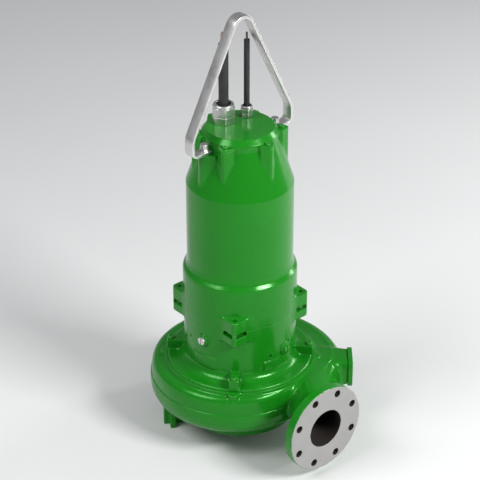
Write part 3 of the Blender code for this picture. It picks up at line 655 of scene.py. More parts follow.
def sampled(field, low, high, pitch):
    """The field on a grid, worked out only near the surface."""
    coarse = 4
    half_diagonal = 0.87
    slack = 1.6
    cells = [int(math.ceil((b - a) / (pitch * coarse))) for a, b in zip(low, high)]
    starts = [a + pitch * coarse * (np.arange(n) + 0.5) for a, n in zip(low, cells)]
    cx, cy, cz = (axis.ravel() for axis in np.meshgrid(*starts, indexing="ij"))
    rough = field(cx, cy, cz)
    reach = pitch * coarse * half_diagonal * slack + pitch
    volume = np.repeat(np.repeat(np.repeat(rough.reshape(cells), coarse, 0), coarse, 1), coarse, 2)
    near = np.unravel_index(np.flatnonzero(np.abs(rough) < reach), cells)
    inner = np.arange(coarse)
    offsets = (axis.ravel() for axis in np.meshgrid(inner, inner, inner, indexing="ij"))
    at = [(cell[:, None] * coarse + offset).ravel() for cell, offset in zip(near, offsets)]
    values = field(*(start + pitch / 2 + index * pitch for start, index in zip(low, at)))
    volume[tuple(at)] = values
    return volume


def slope(field, points, reach):
    """The outward direction of the field's surface at these points."""
    x, y, z = points.T
    direction = np.column_stack((
        field(x + reach, y, z) - field(x - reach, y, z),
        field(x, y + reach, z) - field(x, y - reach, z),
        field(x, y, z + reach) - field(x, y, z - reach),
    ))
    length = np.linalg.norm(direction, axis=1, keepdims=True)
    return direction / np.maximum(length, 1e-12)


def surface(field, low, high, pitch):
    """Points and four-sided faces of the field's surface, with its edges kept sharp."""
    volume = sampled(field, low, high, pitch)
    shape = volume.shape
    origin = np.array(low) + pitch / 2
    points, cells, flips = [], [], []
    for axis in range(3):
        ahead = [slice(None)] * 3
        behind = [slice(None)] * 3
        ahead[axis] = slice(1, None)
        behind[axis] = slice(None, -1)
        a, b = volume[tuple(behind)], volume[tuple(ahead)]
        at = np.column_stack(np.nonzero((a < 0) != (b < 0)))
        others = [n for n in range(3) if n != axis]
        at = at[(at[:, others[0]] > 0) & (at[:, others[1]] > 0)]
        va, vb = a[tuple(at.T)], b[tuple(at.T)]
        crossing = at.astype(float)
        crossing[:, axis] += va / (va - vb)
        points.append(origin + crossing * pitch)
        around = []
        for first, second in ((-1, -1), (0, -1), (0, 0), (-1, 0)):
            cell = at.copy()
            cell[:, others[0]] += first
            cell[:, others[1]] += second
            around.append(np.ravel_multi_index(tuple(cell.T), shape))
        cells.append(np.column_stack(around))
        flips.append((va > 0) != (axis == 1))
    points = np.concatenate(points)
    cells = np.concatenate(cells)
    normals = slope(field, points, pitch * 0.05)
    used, index = np.unique(cells, return_inverse=True)
    index = index.reshape(cells.shape)
    count = len(used)
    each = np.repeat(np.arange(len(points)), 4)

    def gathered(values):
        return np.bincount(index.ravel(), weights=values[each], minlength=count)

    number = gathered(np.ones(len(points)))
    middle = np.column_stack([gathered(points[:, n]) for n in range(3)]) / number[:, None]
    offset = (normals * points).sum(1)
    right = np.column_stack([gathered(normals[:, n] * offset) for n in range(3)])
    matrix = np.zeros((count, 3, 3))
    for row in range(3):
        for column in range(3):
            matrix[:, row, column] = gathered(normals[:, row] * normals[:, column])
    right -= np.einsum("nij,nj->ni", matrix, middle)
    matrix += np.eye(3) * PULL_TO_MIDDLE
    placed = middle + np.linalg.solve(matrix, right[:, :, None])[:, :, 0]
    centre = origin + (np.column_stack(np.unravel_index(used, shape)) + 0.5) * pitch
    placed = np.clip(placed, centre - pitch * STRAY, centre + pitch * STRAY)
    return placed, np.where(np.concatenate(flips)[:, None], index[:, ::-1], index)


def mesh_of(name, points, faces):
    """A mesh from an array of points and one of equal-sided faces."""
    mesh = bpy.data.meshes.new(name)
    mesh.vertices.add(len(points))
    mesh.vertices.foreach_set("co", points.astype(np.float32).ravel())
    mesh.loops.add(faces.size)
    mesh.loops.foreach_set("vertex_index", faces.astype(np.int32).ravel())
    mesh.polygons.add(len(faces))
    mesh.polygons.foreach_set("loop_start", np.arange(0, faces.size, faces.shape[1], dtype=np.int32))
    mesh.update(calc_edges=True)
    mesh.validate()
    return mesh


def read(items, name, width=1, kind=np.int32):
    """A mesh's stored values as an array with this many columns."""
    values = np.zeros(len(items) * width, kind)
    items.foreach_get(name, values)
    return values.reshape(-1, width) if width > 1 else values


def exact_normals(mesh, field, reach):
    """Gives each face's corners the field's own direction, read a little inside the face."""
    centres = read(mesh.polygons, "center", 3, np.float32).astype(float)
    middle = np.repeat(centres, read(mesh.polygons, "loop_total"), axis=0)
    corner = read(mesh.vertices, "co", 3, np.float32).astype(float)[read(mesh.loops, "vertex_index")]
    toward = middle - corner
    length = np.linalg.norm(toward, axis=1, keepdims=True)
    corner = corner + toward * np.minimum(0.3, reach / np.maximum(length, 1e-9))
    normals = slope(field, corner, reach * 0.3)
    mesh.shade_smooth()
    mesh.normals_split_custom_set(normals.tolist())


def in_scene(name, data):
    """A new object in the scene."""
    obj = bpy.data.objects.new(name, data)
    bpy.context.scene.collection.objects.link(obj)
    return obj


def settled(obj):
    """The object's mesh as its modifiers leave it. The object goes."""
    graph = bpy.context.evaluated_depsgraph_get()
    mesh = bpy.data.meshes.new_from_object(obj.evaluated_get(graph))
    bpy.data.objects.remove(obj)
    return mesh


def piece(name, shape, materials, slot, *nodes):
    """Puts a finished shape in the scene, riding on the pump, in place of these CAD nodes."""
    obj = in_scene(name, shape)
    for material in materials:
        shape.materials.append(material)
    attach(obj, "root")
    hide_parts(*nodes)
    return obj


def thinned(mesh, share):
    """The mesh with this share of its triangles, taken from where it is flattest."""
    obj = in_scene("thinned", mesh)
    obj.modifiers.new("thin", "DECIMATE").ratio = share
    return settled(obj)


def casting(name, field, low, high, pitch, node, share, slot="green_paint", materials=(GREEN,), paint=None):
    """A piece made from a field, with the paint function choosing a material for each face."""
    mesh = thinned(mesh_of(name, *surface(field, low, high, pitch)), share)
    mesh.name = name
    exact_normals(mesh, field, pitch * 0.25)
    if paint is not None:
        chosen = paint(*read(mesh.polygons, "center", 3, np.float32).T).astype(np.int32)
    piece(name, mesh, materials, slot, node)
    if paint is not None:
        mesh.polygons.foreach_set("material_index", chosen)
    mesh.transform(TO_FRAME)


# Scroll casing


def scroll_share(turn):
    """How far round the scroll a turn in degrees lies: 0 at the cutwater, 1 where the neck leaves."""
    swept = (CUTWATER_TURN - turn) % 360.0
    back = (360.0 - swept) / (360.0 - SCROLL_SWEEP)
    return np.where(swept <= SCROLL_SWEEP, swept / SCROLL_SWEEP, back * back * (3.0 - 2.0 * back))


def wall_tables():
    """The wall's two insets on even heights, smoothed over a few millimetres."""
    heights = np.arange(0.07, 0.21, 0.00025)
    known, *insets = zip(*SCROLL_WALL)
    window = np.hanning(23)
    tables = []
    for inset in insets:
        padded = np.pad(np.interp(heights, known, inset), 11, mode="edge")
        tables.append(np.convolve(padded, window / window.sum(), "valid"))
    return heights, tables


WALL_HEIGHTS, (WALL_INSET, WALL_FURTHER) = wall_tables()


def wall_inset(z, share):
    """How far the scroll's wall stands in at a height."""
    return np.interp(z, WALL_HEIGHTS, WALL_INSET) + np.interp(z, WALL_HEIGHTS, WALL_FURTHER) * share


def scroll_field(x, y, z):
    """The scroll casing's outer wall."""
    share = scroll_share(np.degrees(np.arctan2(x, -y)))
    radius = SCROLL_R_START + (SCROLL_R_END - SCROLL_R_START) * share
    rise = np.clip((z - LEDGE_Z) / LEDGE_TALL, 0.0, 1.0)
    ledge = LEDGE_DEEP * rise * rise * (3.0 - 2.0 * rise)
    reach = wall_inset(z, share)
    step = 0.0005
    lean = (wall_inset(z + step, share) - reach) / step
    side = (np.hypot(x, y) - radius + reach + ledge) / np.sqrt(1.0 + lean * lean)
    return capped(side, level(z, CASING_BOTTOM, CASING_TOP), 0.001)


def neck_path():
    """Points of the neck's centre line, and how far along it they are."""
    shares = np.linspace(0.0, 1.0, 41)
    rest = 1.0 - shares
    a, b, c, d = (np.array(point) for point in NECK_LINE)
    return shares, (
        np.outer(rest**3, a) + np.outer(3 * rest**2 * shares, b)
        + np.outer(3 * rest * shares**2, c) + np.outer(shares**3, d)
    )


NECK_SHARES, NECK_POINTS = neck_path()


def neck_field(x, y, z, radius, root_radius, first=0.0):
    """A pipe along the neck's centre line, growing from its root to its radius at the flange."""
    nearest = np.full(x.shape, 1e9)
    share = np.zeros(x.shape)
    for index in range(len(NECK_SHARES) - 1):
        if NECK_SHARES[index + 1] <= first:
            continue
        start, end = NECK_POINTS[index], NECK_POINTS[index + 1]
        along = end - start
        px, py = x - start[0], y - start[1]
        part = (px * along[0] + py * along[1]) / float(along @ along)
        last = index == len(NECK_SHARES) - 2
        held = np.clip(part, 0.0, 50.0 if last else 1.0)
        gx, gy = px - held * along[0], py - held * along[1]
        gap = gx * gx + gy * gy
        closer = gap < nearest
        nearest = np.where(closer, gap, nearest)
        step = NECK_SHARES[index + 1] - NECK_SHARES[index]
        share = np.where(closer, NECK_SHARES[index] + np.minimum(held, 1.0) * step, share)
    tall = root_radius + (radius - root_radius) * np.minimum(1.0, share / 0.6)
    wide = root_radius + (radius - root_radius) * np.minimum(1.0, share / 0.9)
    up = (z - OUTLET_Z) / tall
    out = np.sqrt(nearest) / wide
    return (np.sqrt(up * up + out * out) - 1.0) * np.minimum(tall, wide)


def bore_field(x, y, z):
    """The passage through the neck."""
    return neck_field(x, y, z, BORE_R, BORE_ROOT_R, BORE_START)


def foot_field(x, y, z, name, turn, tall):
    """A foot with a cross section: one rib toward the axis and one across it."""
    centre = Vector((*NECK_FOOT, 0.0)) if name == "neck" else on_circle(turn, FOOT_R)
    middle = centre + on_circle(turn, 1.0) * (FOOT_OUTWARD - FOOT_INWARD) / 2
    sizes = (FOOT_RIB, FOOT_OUTWARD + FOOT_INWARD, tall), (2 * FOOT_ACROSS, FOOT_RIB, tall)
    ribs = [
        slab(x, y, z, (at.x, at.y, tall / 2), size, turn, FOOT_EDGE)
        for at, size in zip((middle, centre), sizes)
    ]
    return np.maximum(united(*ribs, 0.006), FLOOR_GAP - z)


def port_axes(x, y, z):
    """Across, out and up of the side port's own frame."""
    outward = on_circle(PORT_TURN, 1.0)
    across = x * -outward.y + y * outward.x
    out = x * outward.x + y * outward.y
    return across, out, z - PORT_Z


def port_field(x, y, z, size, near, far, corner, edge):
    """A square block with turned corners between two distances from the axis."""
    across, out, up = port_axes(x, y, z)
    square = np.maximum(np.abs(across), np.abs(up)) - size / 2
    cut = (np.abs(across) + np.abs(up) - size + corner) / math.sqrt(2)
    return capped(common(square, cut, 0.006), level(out, near, far), edge)


def bolt_circle(count, radius):
    """Places round a flange whose holes straddle its centre lines."""
    angles = [2 * math.pi * (index + 0.5) / count for index in range(count)]
    return [(radius * math.sin(angle), radius * math.cos(angle)) for angle in angles]


SUCTION_PROFILE = rounded((
    (-0.05, CASING_BOTTOM + WALL / 2), (SUCTION_HUB_R + 0.008, CASING_BOTTOM + WALL / 2),
    (SUCTION_HUB_R, CASING_BOTTOM - 0.006, 0.004), (SUCTION_HUB_R, SUCTION_TOP, 0.006),
    (SUCTION_R, SUCTION_TOP, 0.0022), (SUCTION_R, SUCTION_BOTTOM, 0.0015),
    (-0.05, SUCTION_BOTTOM),
))


def volute_field(x, y, z):
    """The scroll with its neck, flanges, feet and port stub, hollow inside."""
    body = scroll_field(x, y, z)
    ring = pillar(x, y, z, (0, 0), CASING_RING_R, CASING_TOP - 0.01, CASING_RING_TOP, 0.0018)
    body = united(body, ring, 0.010)
    neck_low, neck_high = (-0.16, -0.36, 0.04), (0.30, 0.02, 0.235)
    flange_back = -OUTLET_REACH + FLANGE_THICK

    def neck(a, b, c):
        return np.maximum(neck_field(a, b, c, NECK_R, NECK_ROOT_R), -OUTLET_REACH + 0.004 - b)

    body = united(body, within(x, y, z, neck_low, neck_high, neck), 0.016)
    rim = capped(np.hypot(x, z - OUTLET_Z) - FLANGE_R, level(y, -OUTLET_REACH, flange_back), 0.0022)
    body = united(body, rim, 0.012)
    for foot in FEET:
        body = united(body, foot_field(x, y, z, *foot), 0.009)
    for turn in LUG_TURNS:
        at = on_circle(turn, CLAMP_BOLT_R + CLAMP_BOSS_OUT)
        boss = pillar(x, y, z, at, CLAMP_BOSS_R, CASING_TOP - 0.03, CASING_RING_TOP - 0.001, 0.002)
        body = united(body, boss, 0.006)
    port_face = PORT_REACH - PORT_PLATE - GAP
    port = port_field(x, y, z, PORT_STUB_SIZE, PORT_STUB_START, port_face, PORT_STUB_CORNER, 0.001)
    body = united(body, port, 0.014)
    body = united(body, turned(x, y, z, SUCTION_PROFILE), 0.004)
    body = np.maximum(body, -OUTLET_REACH - y)
    body = less(body, within(x, y, z, neck_low, neck_high, bore_field), 0.001)
    floor_z = CASING_BOTTOM + WALL
    for radius, low, high, ease in (
        (CASING_MOUTH_R, CASING_TOP - 0.025, CASING_RING_TOP + 0.02, 0.0),
        (CHAMBER_R, floor_z, CASING_TOP, 0.0),
        (WEAR_SEAT_R, WEAR_SEAT_Z, floor_z + 0.01, 0.0),
        (SUCTION_BORE_R, SUCTION_BOTTOM - 0.02, WEAR_SEAT_Z + 0.01, 0.0008),
    ):
        body = less(body, pillar(x, y, z, (0, 0), radius, low, high), ease)
    for across, up in bolt_circle(FLANGE_HOLES, FLANGE_BOLT_CIRCLE_R):
        start = (across, -OUTLET_REACH - 0.01, OUTLET_Z + up)
        end = (across, flange_back + 0.014, OUTLET_Z + up)
        body = less(body, bar(x, y, z, start, end, FLANGE_HOLE_R), 0.0006)
    for place in bolt_circle(SUCTION_HOLES, SUCTION_BOLT_CIRCLE_R):
        body = less(body, pillar(x, y, z, place, SUCTION_HOLE_R, SUCTION_BOTTOM - 0.01, SUCTION_TOP + 0.002))
    return body


def volute_paint(x, y, z):
    """Bare metal on the outlet's face, near-black painted shade in its holes and bore and inside, paint
    elsewhere.
    """
    face_y = -OUTLET_REACH + 0.0006
    face = (y < face_y) & (np.hypot(x, z - OUTLET_Z) < FLANGE_R)
    holes = np.zeros(len(x), bool)
    for across, up in bolt_circle(FLANGE_HOLES, FLANGE_BOLT_CIRCLE_R):
        near = np.hypot(x - across, z - OUTLET_Z - up) < FLANGE_HOLE_R + 0.0005
        holes |= near & (y < -OUTLET_REACH + FLANGE_THICK + 0.001)
    # Painted shade: the bore, the casing's inside and the flange's holes take the near-black material.
    bore = (bore_field(x, y, z) < 0.0012) & (y > face_y) & (y < 0.0)
    inner = (np.hypot(x, y) < WEAR_SEAT_R + 0.06) & (z > CASING_BOTTOM + WALL - 0.002)
    return np.where(bore | inner | (holes & ~face), 2, np.where(face, 1, 0))


casting(
    "volute_casting", volute_field, (-0.265, -0.340, -0.006), (0.275, 0.255, 0.256), 0.0025, "volute",
    0.45, materials=(GREEN, BARE_FACE, BORE_IN_PAINTED_SHADE), paint=volute_paint,
)


# Seal housing


LUG_OUTLINE = rounded((
    (0.045, 0.045), (LUG_HALF, LUG_ROOT, 0.003), (LUG_HALF, LUG_HALF, LUG_ROUND), (LUG_ROOT, LUG_HALF, 0.003),
), step=9.0)


def lug_axes(x, y, turn):
    """The place turned so that the lug at this turn points along the first quadrant's diagonal."""
    angle = math.radians(135.0 - turn)
    u = x * math.cos(angle) - y * math.sin(angle)
    v = x * math.sin(angle) + y * math.cos(angle)
    return u, v


def lug_field(x, y, z, turn, low, high, edge):
    """A corner lug between two heights."""
    u, v = lug_axes(x, y, turn)
    return capped(outline_field(u, v, LUG_OUTLINE), level(z, low, high), edge)


SEAL_PROFILE = rounded((
    (-0.05, SEAM - GAP), (SEAL_BODY_R, SEAM - GAP, 0.0008), (SEAL_BODY_R, CLAMP_FLANGE_TOP, 0.024),
    (CLAMP_FLANGE_R, CLAMP_FLANGE_TOP, 0.0048), (CLAMP_FLANGE_R, CASING_RING_TOP + GAP, 0.0006),
    (CASING_MOUTH_R - GAP, CASING_RING_TOP + GAP), (CASING_MOUTH_R - GAP, SPIGOT_BOTTOM, 0.001),
    (-0.05, SPIGOT_BOTTOM),
), step=4.0)

# Plugs in its side as (name, turn, height, finish, slot)
PLUGS = (
    ("oil_plug", -80.0, 0.3065, FITTING_STEEL, "stainless"),
    ("check_plug", 11.5, 0.2690, GREEN, "green_paint"),
)


def seal_field(x, y, z):
    """The oil housing with its pads, lugs, bosses, holes and pry slots."""
    body = turned(x, y, z, SEAL_PROFILE)
    clamp_bottom = CASING_RING_TOP + 0.002
    tall = CLAMP_LUG_TOP - clamp_bottom
    for turn, wide, low, high, reach in SIDE_PADS:
        outward = on_circle(turn, 1.0)
        across = np.abs(x * outward.y - y * outward.x) - wide / 2
        side = common(np.hypot(x, y) - reach, np.maximum(across, -x * outward.x - y * outward.y), 0.002)
        body = united(body, capped(side, level(z, low, high), 0.001), 0.003)
    for turn in LUG_TURNS:
        body = united(body, lug_field(x, y, z, turn, LUG_BOTTOM, SEAM - GAP, 0.0018), 0.008)
        at = on_circle(turn, CLAMP_BOLT_R - 0.012, clamp_bottom + tall / 2)
        clamp = slab(x, y, z, at, (CLAMP_LUG_WIDE, CLAMP_LUG_DEEP, tall), turn, 0.0025)
        body = united(body, clamp, 0.005)
    for _, turn, height, *_ in PLUGS:
        start, end = (on_circle(turn, radius, height) for radius in (PLUG_BOSS_ROOT, PLUG_FACE_R))
        body = united(body, bar(x, y, z, start, end, PLUG_BOSS_R, 0.0012), 0.004)
    for turn, height, deep in TAPPED_HOLES:
        start, end = (on_circle(turn, radius, height) for radius in (deep, TAPPED_MOUTH))
        body = less(body, bar(x, y, z, start, end, TAPPED_R), 0.0006)
    middle = SEAM - PRY_SLOT_TALL / 2 + 0.001
    along = LUG_HALF - PRY_PILLAR - PRY_SLOT_LONG / 2
    size = (2 * PRY_SLOT_DEEP, PRY_SLOT_LONG, PRY_SLOT_TALL + 0.002)
    for turn in LUG_TURNS:
        u, v = lug_axes(x, y, turn)
        for a, b in ((u, v), (v, u)):
            body = less(body, slab(a, b, z, (LUG_HALF, along, middle), size, 0.0, 0.002), 0.001)
        hole = on_circle(turn, LUG_BOLT_R)
        body = less(body, pillar(x, y, z, hole, HOUSING_BOLT_R + GAP, LUG_BOTTOM - 0.01, SEAM + 0.01))
    return body


casting(
    "seal_casting", seal_field, (-0.200, -0.200, 0.178), (0.200, 0.200, 0.362), 0.0024, "seal_housing", 0.55,
)


# Motor housing


MOTOR_PROFILE = rounded((
    (-0.05, LID_BOTTOM - GAP), (CONE_TOP_R, LID_BOTTOM - GAP, 0.0008), (CONE_TOP_R, CONE_TOP, 0.004),
    (0.1155, 0.7585, 0.05), (0.1290, 0.7185, 0.03), (0.1333, 0.7060, 0.010),
    (UPPER_R, LEDGE_TOP - 0.003, 0.020), (0.1360, LEDGE_TOP - 0.0170, 0.008),
    (0.1430, LEDGE_BOTTOM + 0.0100, 0.003), (LOWER_R, LEDGE_BOTTOM + 0.0025, 0.004),
    (LOWER_R, SEAM, 0.0010), (-0.05, SEAM),
), step=3.0)


def boss_outline(plan, ease):
    """A boss in plan, pointing outward along +u, its two side corners eased."""
    half, reach, point = plan
    return rounded((
        (BOSS_ROOT, -half), (reach - half, -half, ease), (reach, 0.0, point), (reach - half, half, ease),
        (BOSS_ROOT, half),
    ), step=8.0)


BAIL_BOSS_OUTLINE = boss_outline(BAIL_BOSS, 0.0035)
SCREW_BOSS_OUTLINE = boss_outline(SCREW_BOSS, 0.0025)


def screw_boss_side(x, y):
    """The plan of all the screw bosses, one every sixth of a turn."""
    sixth = 2 * math.pi / LID_SCREWS
    turn = (np.arctan2(x, -y) + sixth / 2) % sixth - sixth / 2
    radius = np.hypot(x, y)
    return outline_field(radius * np.cos(turn), radius * np.sin(turn), SCREW_BOSS_OUTLINE)


def bosses_field(x, y, z):
    """The bail's two bosses and the six for the lid's screws."""
    bail = capped(outline_field(np.abs(x), y, BAIL_BOSS_OUTLINE), level(z, BOSS_BOTTOM, BOSS_TOP), 0.0016)
    screws = capped(screw_boss_side(x, y), level(z, SCREW_BOSS_BOTTOM, LID_BOTTOM - GAP), 0.0006)
    return united(bail, screws, 0.002)


def motor_field(x, y, z):
    """The stepped housing with its lugs and bosses."""
    body = turned(x, y, z, MOTOR_PROFILE)
    for turn in LUG_TURNS:
        body = united(body, lug_field(x, y, z, turn, SEAM, LUG_TOP, 0.0025), 0.008)
    low, high = (-0.15, -0.15, BOSS_BOTTOM - 0.01), (0.15, 0.15, LID_BOTTOM + 0.01)
    body = united(body, within(x, y, z, low, high, bosses_field), 0.0035)
    for at in ((-BAIL_BOLT_X, 0.0), (BAIL_BOLT_X, 0.0)):
        body = less(body, pillar(x, y, z, at, BAIL_HOLE_R, BOSS_TOP - 0.03, BOSS_TOP + 0.01))
    for turn in LUG_TURNS:
        at = on_circle(turn, LUG_BOLT_R)
        body = less(body, pillar(x, y, z, at, LUG_HOLE_R, SEAM - 0.01, LUG_TOP + 0.01), 0.0006)
    return body


casting(
    "motor_casting", motor_field, (-0.155, -0.155, 0.350), (0.155, 0.155, 0.842), 0.0027, "motor_housing",
    0.55,
)


# Lid


LID_PROFILE = rounded((
    (-0.05, LID_TOP), (LID_FLAT_R + 0.001, LID_TOP, 0.0025), (CONE_TOP_R, LID_EDGE - 0.0008, 0.0014),
    (CONE_TOP_R, LID_BOTTOM, 0.0006), (-0.05, LID_BOTTOM),
))


def lid_field(x, y, z):
    """The round cover with an ear over each screw boss."""
    body = turned(x, y, z, LID_PROFILE)
    ears = capped(screw_boss_side(x, y), level(z, LID_BOTTOM, LID_EAR_TOP), 0.0008)
    return united(body, ears, 0.0012)


casting("lid_casting", lid_field, (-0.126, -0.126, 0.831), (0.126, 0.126, 0.856), 0.0015, "lid", 0.5)


# Side port cover


def cover_field(x, y, z):
    """The blank plate with four sunk holes for its screws."""
    body = port_field(x, y, z, PORT_SIZE, PORT_REACH - PORT_PLATE, PORT_REACH, PORT_CORNER, 0.0015)
    across, out, up = port_axes(x, y, z)
    depth = level(out, PORT_REACH - PORT_SINK_DEEP, PORT_REACH + 0.01)
    for side, rise in ((-1, -1), (1, -1), (1, 1), (-1, 1)):
        away = np.hypot(across - side * PORT_SCREW_REACH, up - rise * PORT_SCREW_REACH)
        body = less(body, capped(away - PORT_SINK_R, depth), 0.0006)
    return body


casting(
    "port_cover_casting", cover_field, (0.10, -0.27, 0.100), (0.28, -0.10, 0.206), 0.0016, "port_cover", 0.5,
)


# Bail, screws and bolts


def skin(name, rings, sharp=HEAD_SHARP):
    """A closed mesh over rings of points, creased where faces meet at more than the sharp angle."""
    count = len(rings[0])
    points = [tuple(point) for ring in rings for point in ring]
    faces = [tuple(range(count))[::-1]]
    for low in range(0, len(points) - count, count):
        for column in range(count):
            after = (column + 1) % count
            faces.append((low + column, low + after, low + count + after, low + count + column))
    faces.append(tuple(range(len(points) - count, len(points))))
    mesh = bpy.data.meshes.new(name)
    mesh.from_pydata(points, [], faces)
    return creased(mesh, sharp)


def creased(mesh, sharp=HEAD_SHARP):
    """The mesh shaded smooth, apart from its sharp edges."""
    mesh.shade_smooth()
    mesh.set_sharp_from_angle(angle=math.radians(sharp))
    return mesh


def bail_strap():
    """The flat bar bent to two feet, two legs and a rounded top, with eased edges."""
    mid = BOSS_TOP + GAP + BAIL_THICK / 2
    right = (
        (BAIL_TOE_X, mid, 0.0), (BAIL_LEG_X, mid, BAIL_FOOT_BEND), (BAIL_LEG_X, BAIL_ELBOW, BAIL_ELBOW_BEND),
    )
    left = tuple((-x, z, bend) for x, z, bend in reversed(right))
    corners = (*right, (0.0, BAIL_BARS_MEET, BAIL_TOP_BEND), *left)
    line = [Vector(point) for point in rounded(corners, False, 4.0)]
    dense = [line[0]]
    for point in line[1:]:
        start = dense[-1]
        steps = max(1, int((point - start).length / BAIL_STEP))
        dense += [start.lerp(point, number / steps) for number in range(1, steps + 1)]
    thick, wide = BAIL_THICK / 2, BAIL_WIDE / 2
    corners = ((thick, wide), (-thick, wide), (-thick, -wide), (thick, -wide))
    section = rounded([(*corner, BAIL_EASE) for corner in corners], step=30.0)
    rings = []
    for index, here in enumerate(dense):
        way = (dense[min(len(dense) - 1, index + 1)] - dense[max(0, index - 1)]).normalized()
        normal = Vector((way.y, -way.x))
        rings.append([in_frame((here.x + normal.x * a, b, here.y + normal.y * a)) for a, b in section])
    piece("bail_strap", skin("bail_strap", rings, BAIL_SHARP), [BAIL_STEEL], "stainless", "bail")


bail_strap()


def ringed(name, rings):
    """A closed mesh from rings given as (height, points in plan)."""
    return skin(name, [[(u, v, height) for u, v in ring] for height, ring in rings])


def circle(radius, sides=24):
    """Points in plan round a circle."""
    spokes = [2 * math.pi * (index + 0.5) / sides for index in range(sides)]
    return [(radius * math.cos(spoke), radius * math.sin(spoke)) for spoke in spokes]


def six_sided(corner_radius):
    """A hexagon with the same number of points as a circle."""
    ring = []
    for u, v in circle(1.0):
        away = max(abs(v), abs(u * HEX + v * 0.5), abs(u * HEX - v * 0.5))
        reach = corner_radius * HEX / away
        ring.append((u * reach, v * reach))
    return ring


def hexagon_head(corner_radius, tall, shank_radius=0.0, shank_bottom=0.0):
    """A bolt's head with the cone that turns its corners off, and its shank below."""
    flats = corner_radius * HEX
    washer, sides = circle(flats * 0.98), six_sided(corner_radius)
    lift = (corner_radius - flats) * 0.6
    rings = [
        (0.0, washer), (0.0004, washer), (0.0004, sides), (tall - lift, sides), (tall, circle(flats * 0.97)),
        (tall, circle(flats * 0.5)),
    ]
    if shank_radius:
        shank = circle(shank_radius)
        rings = [(shank_bottom, shank), (0.0, shank), *rings]
    return ringed("hexagon_head", rings)


def socket_head(radius, tall, deep):
    """A cylinder head with an eased rim and a hexagon socket."""
    ease = radius * 0.12
    socket = six_sided(radius * 0.52)
    return ringed("socket_head", [
        (0.0, circle(radius - ease / 2)), (ease / 2, circle(radius)), (tall - ease, circle(radius)),
        (tall, circle(radius - ease)), (tall, six_sided(radius * 0.56)), (tall - 0.0003, socket),
        (tall - deep, socket),
    ])


def slotted_plug(name):
    """A round plug, eased at its rim, with a slot across its face."""
    ease = PLUG_R * 0.13
    rim = circle(PLUG_R, 40)
    plug = ringed(name, [
        (0.0, rim), (PLUG_TALL - ease, rim), (PLUG_TALL - ease * 0.3, circle(PLUG_R - ease * 0.3, 40)),
        (PLUG_TALL, circle(PLUG_R - ease, 40)),
    ])
    half, long = PLUG_SLOT / 2, 2 * PLUG_R
    slot = [(-half, -long), (half, -long), (half, long), (-half, long)]
    return cut_mesh(plug, ringed("slot", [(PLUG_TALL - PLUG_SLOT, slot), (PLUG_TALL + PLUG_SLOT, slot)]))


def cut_mesh(mesh, cutter):
    """The first mesh without the second."""
    held = in_scene("held", mesh)
    knife = in_scene("cutter", cutter)
    step = held.modifiers.new("cut", "BOOLEAN")
    step.operation = "DIFFERENCE"
    step.solver = "EXACT"
    step.object = knife
    result = settled(held)
    bpy.data.objects.remove(knife)
    return creased(result)


def round_tree():
    """Nodes that set a shape out round a circle, each copy turned outward and a little at random."""
    tree = bpy.data.node_groups.new("set_out_round_a_circle", "GeometryNodeTree")
    nodes = Nodes(tree)
    sockets = {}
    for name, kind, value in (
        ("Shape", "Geometry", None), ("Count", "Int", 4), ("Circle radius", "Float", 0.1),
        ("First turn", "Float", 0.0), ("Loose turn", "Float", 0.0), ("Seed", "Int", 1),
        ("Finish", "Material", None),
    ):
        socket = tree.interface.new_socket(name=name, in_out="INPUT", socket_type=f"NodeSocket{kind}")
        if value is not None:
            socket.default_value = value
        sockets[name] = socket.identifier
    tree.interface.new_socket(name="Shape", in_out="OUTPUT", socket_type="NodeSocketGeometry")

    def add(kind, inputs=None, settings=None, output=0):
        return nodes.add(kind, settings, inputs).outputs[output]

    def maths(operation, *values):
        return add("ShaderNodeMath", dict(enumerate(values)), {"operation": operation})

    given = nodes.add("NodeGroupInput").outputs
    spacing = maths("DIVIDE", 2 * math.pi, given["Count"])
    angle = maths("MULTIPLY_ADD", add("GeometryNodeInputIndex"), spacing, given["First turn"])
    east, north = (maths("MULTIPLY", maths(way, angle), given["Circle radius"]) for way in ("COSINE", "SINE"))
    place = add("ShaderNodeCombineXYZ", {"X": east, "Y": north})
    spots = add("GeometryNodePoints", {"Count": given["Count"], "Position": place})
    loose = {2: maths("MULTIPLY", given["Loose turn"], -1.0), 3: given["Loose turn"], "Seed": given["Seed"]}
    chance = add("FunctionNodeRandomValue", loose, {"data_type": "FLOAT"}, 1)
    facing = add("ShaderNodeCombineXYZ", {"Z": maths("ADD", angle, chance)})
    inputs = {"Points": spots, "Instance": given["Shape"], "Rotation": facing}
    whole = add("GeometryNodeRealizeInstances", {"Geometry": add("GeometryNodeInstanceOnPoints", inputs)})
    painted = add("GeometryNodeSetMaterial", {"Geometry": whole, "Material": given["Finish"]})
    tree.links.new(painted, nodes.add("NodeGroupOutput").inputs[0])
    return tree, sockets


ROUND_TREE, ROUND_SOCKETS = round_tree()


def set_out(name, shape, count, radius, first_turn, where, finish, slot, nodes, loose, seed):
    """One piece with this many copies of a shape round a circle, in place of these CAD nodes."""
    obj = in_scene("set_out", shape)
    step = obj.modifiers.new("round", "NODES")
    step.node_group = ROUND_TREE
    for socket, value in (
        ("Count", count), ("Circle radius", radius), ("First turn", math.radians(first_turn)),
        ("Loose turn", math.radians(loose)), ("Seed", seed), ("Finish", finish),
    ):
        step[ROUND_SOCKETS[socket]] = value
    mesh = settled(obj)
    mesh.name = name
    mesh.materials.clear()
    mesh.transform(TO_FRAME @ where)
    piece(name, mesh, [finish], slot, *nodes)


def numbered(stem, count):
    """The names of nodes that are counted from 1."""
    return [f"{stem}_{number}" for number in range(1, count + 1)]


def raised(height):
    """A place up the axis."""
    return Matrix.Translation((0.0, 0.0, height))


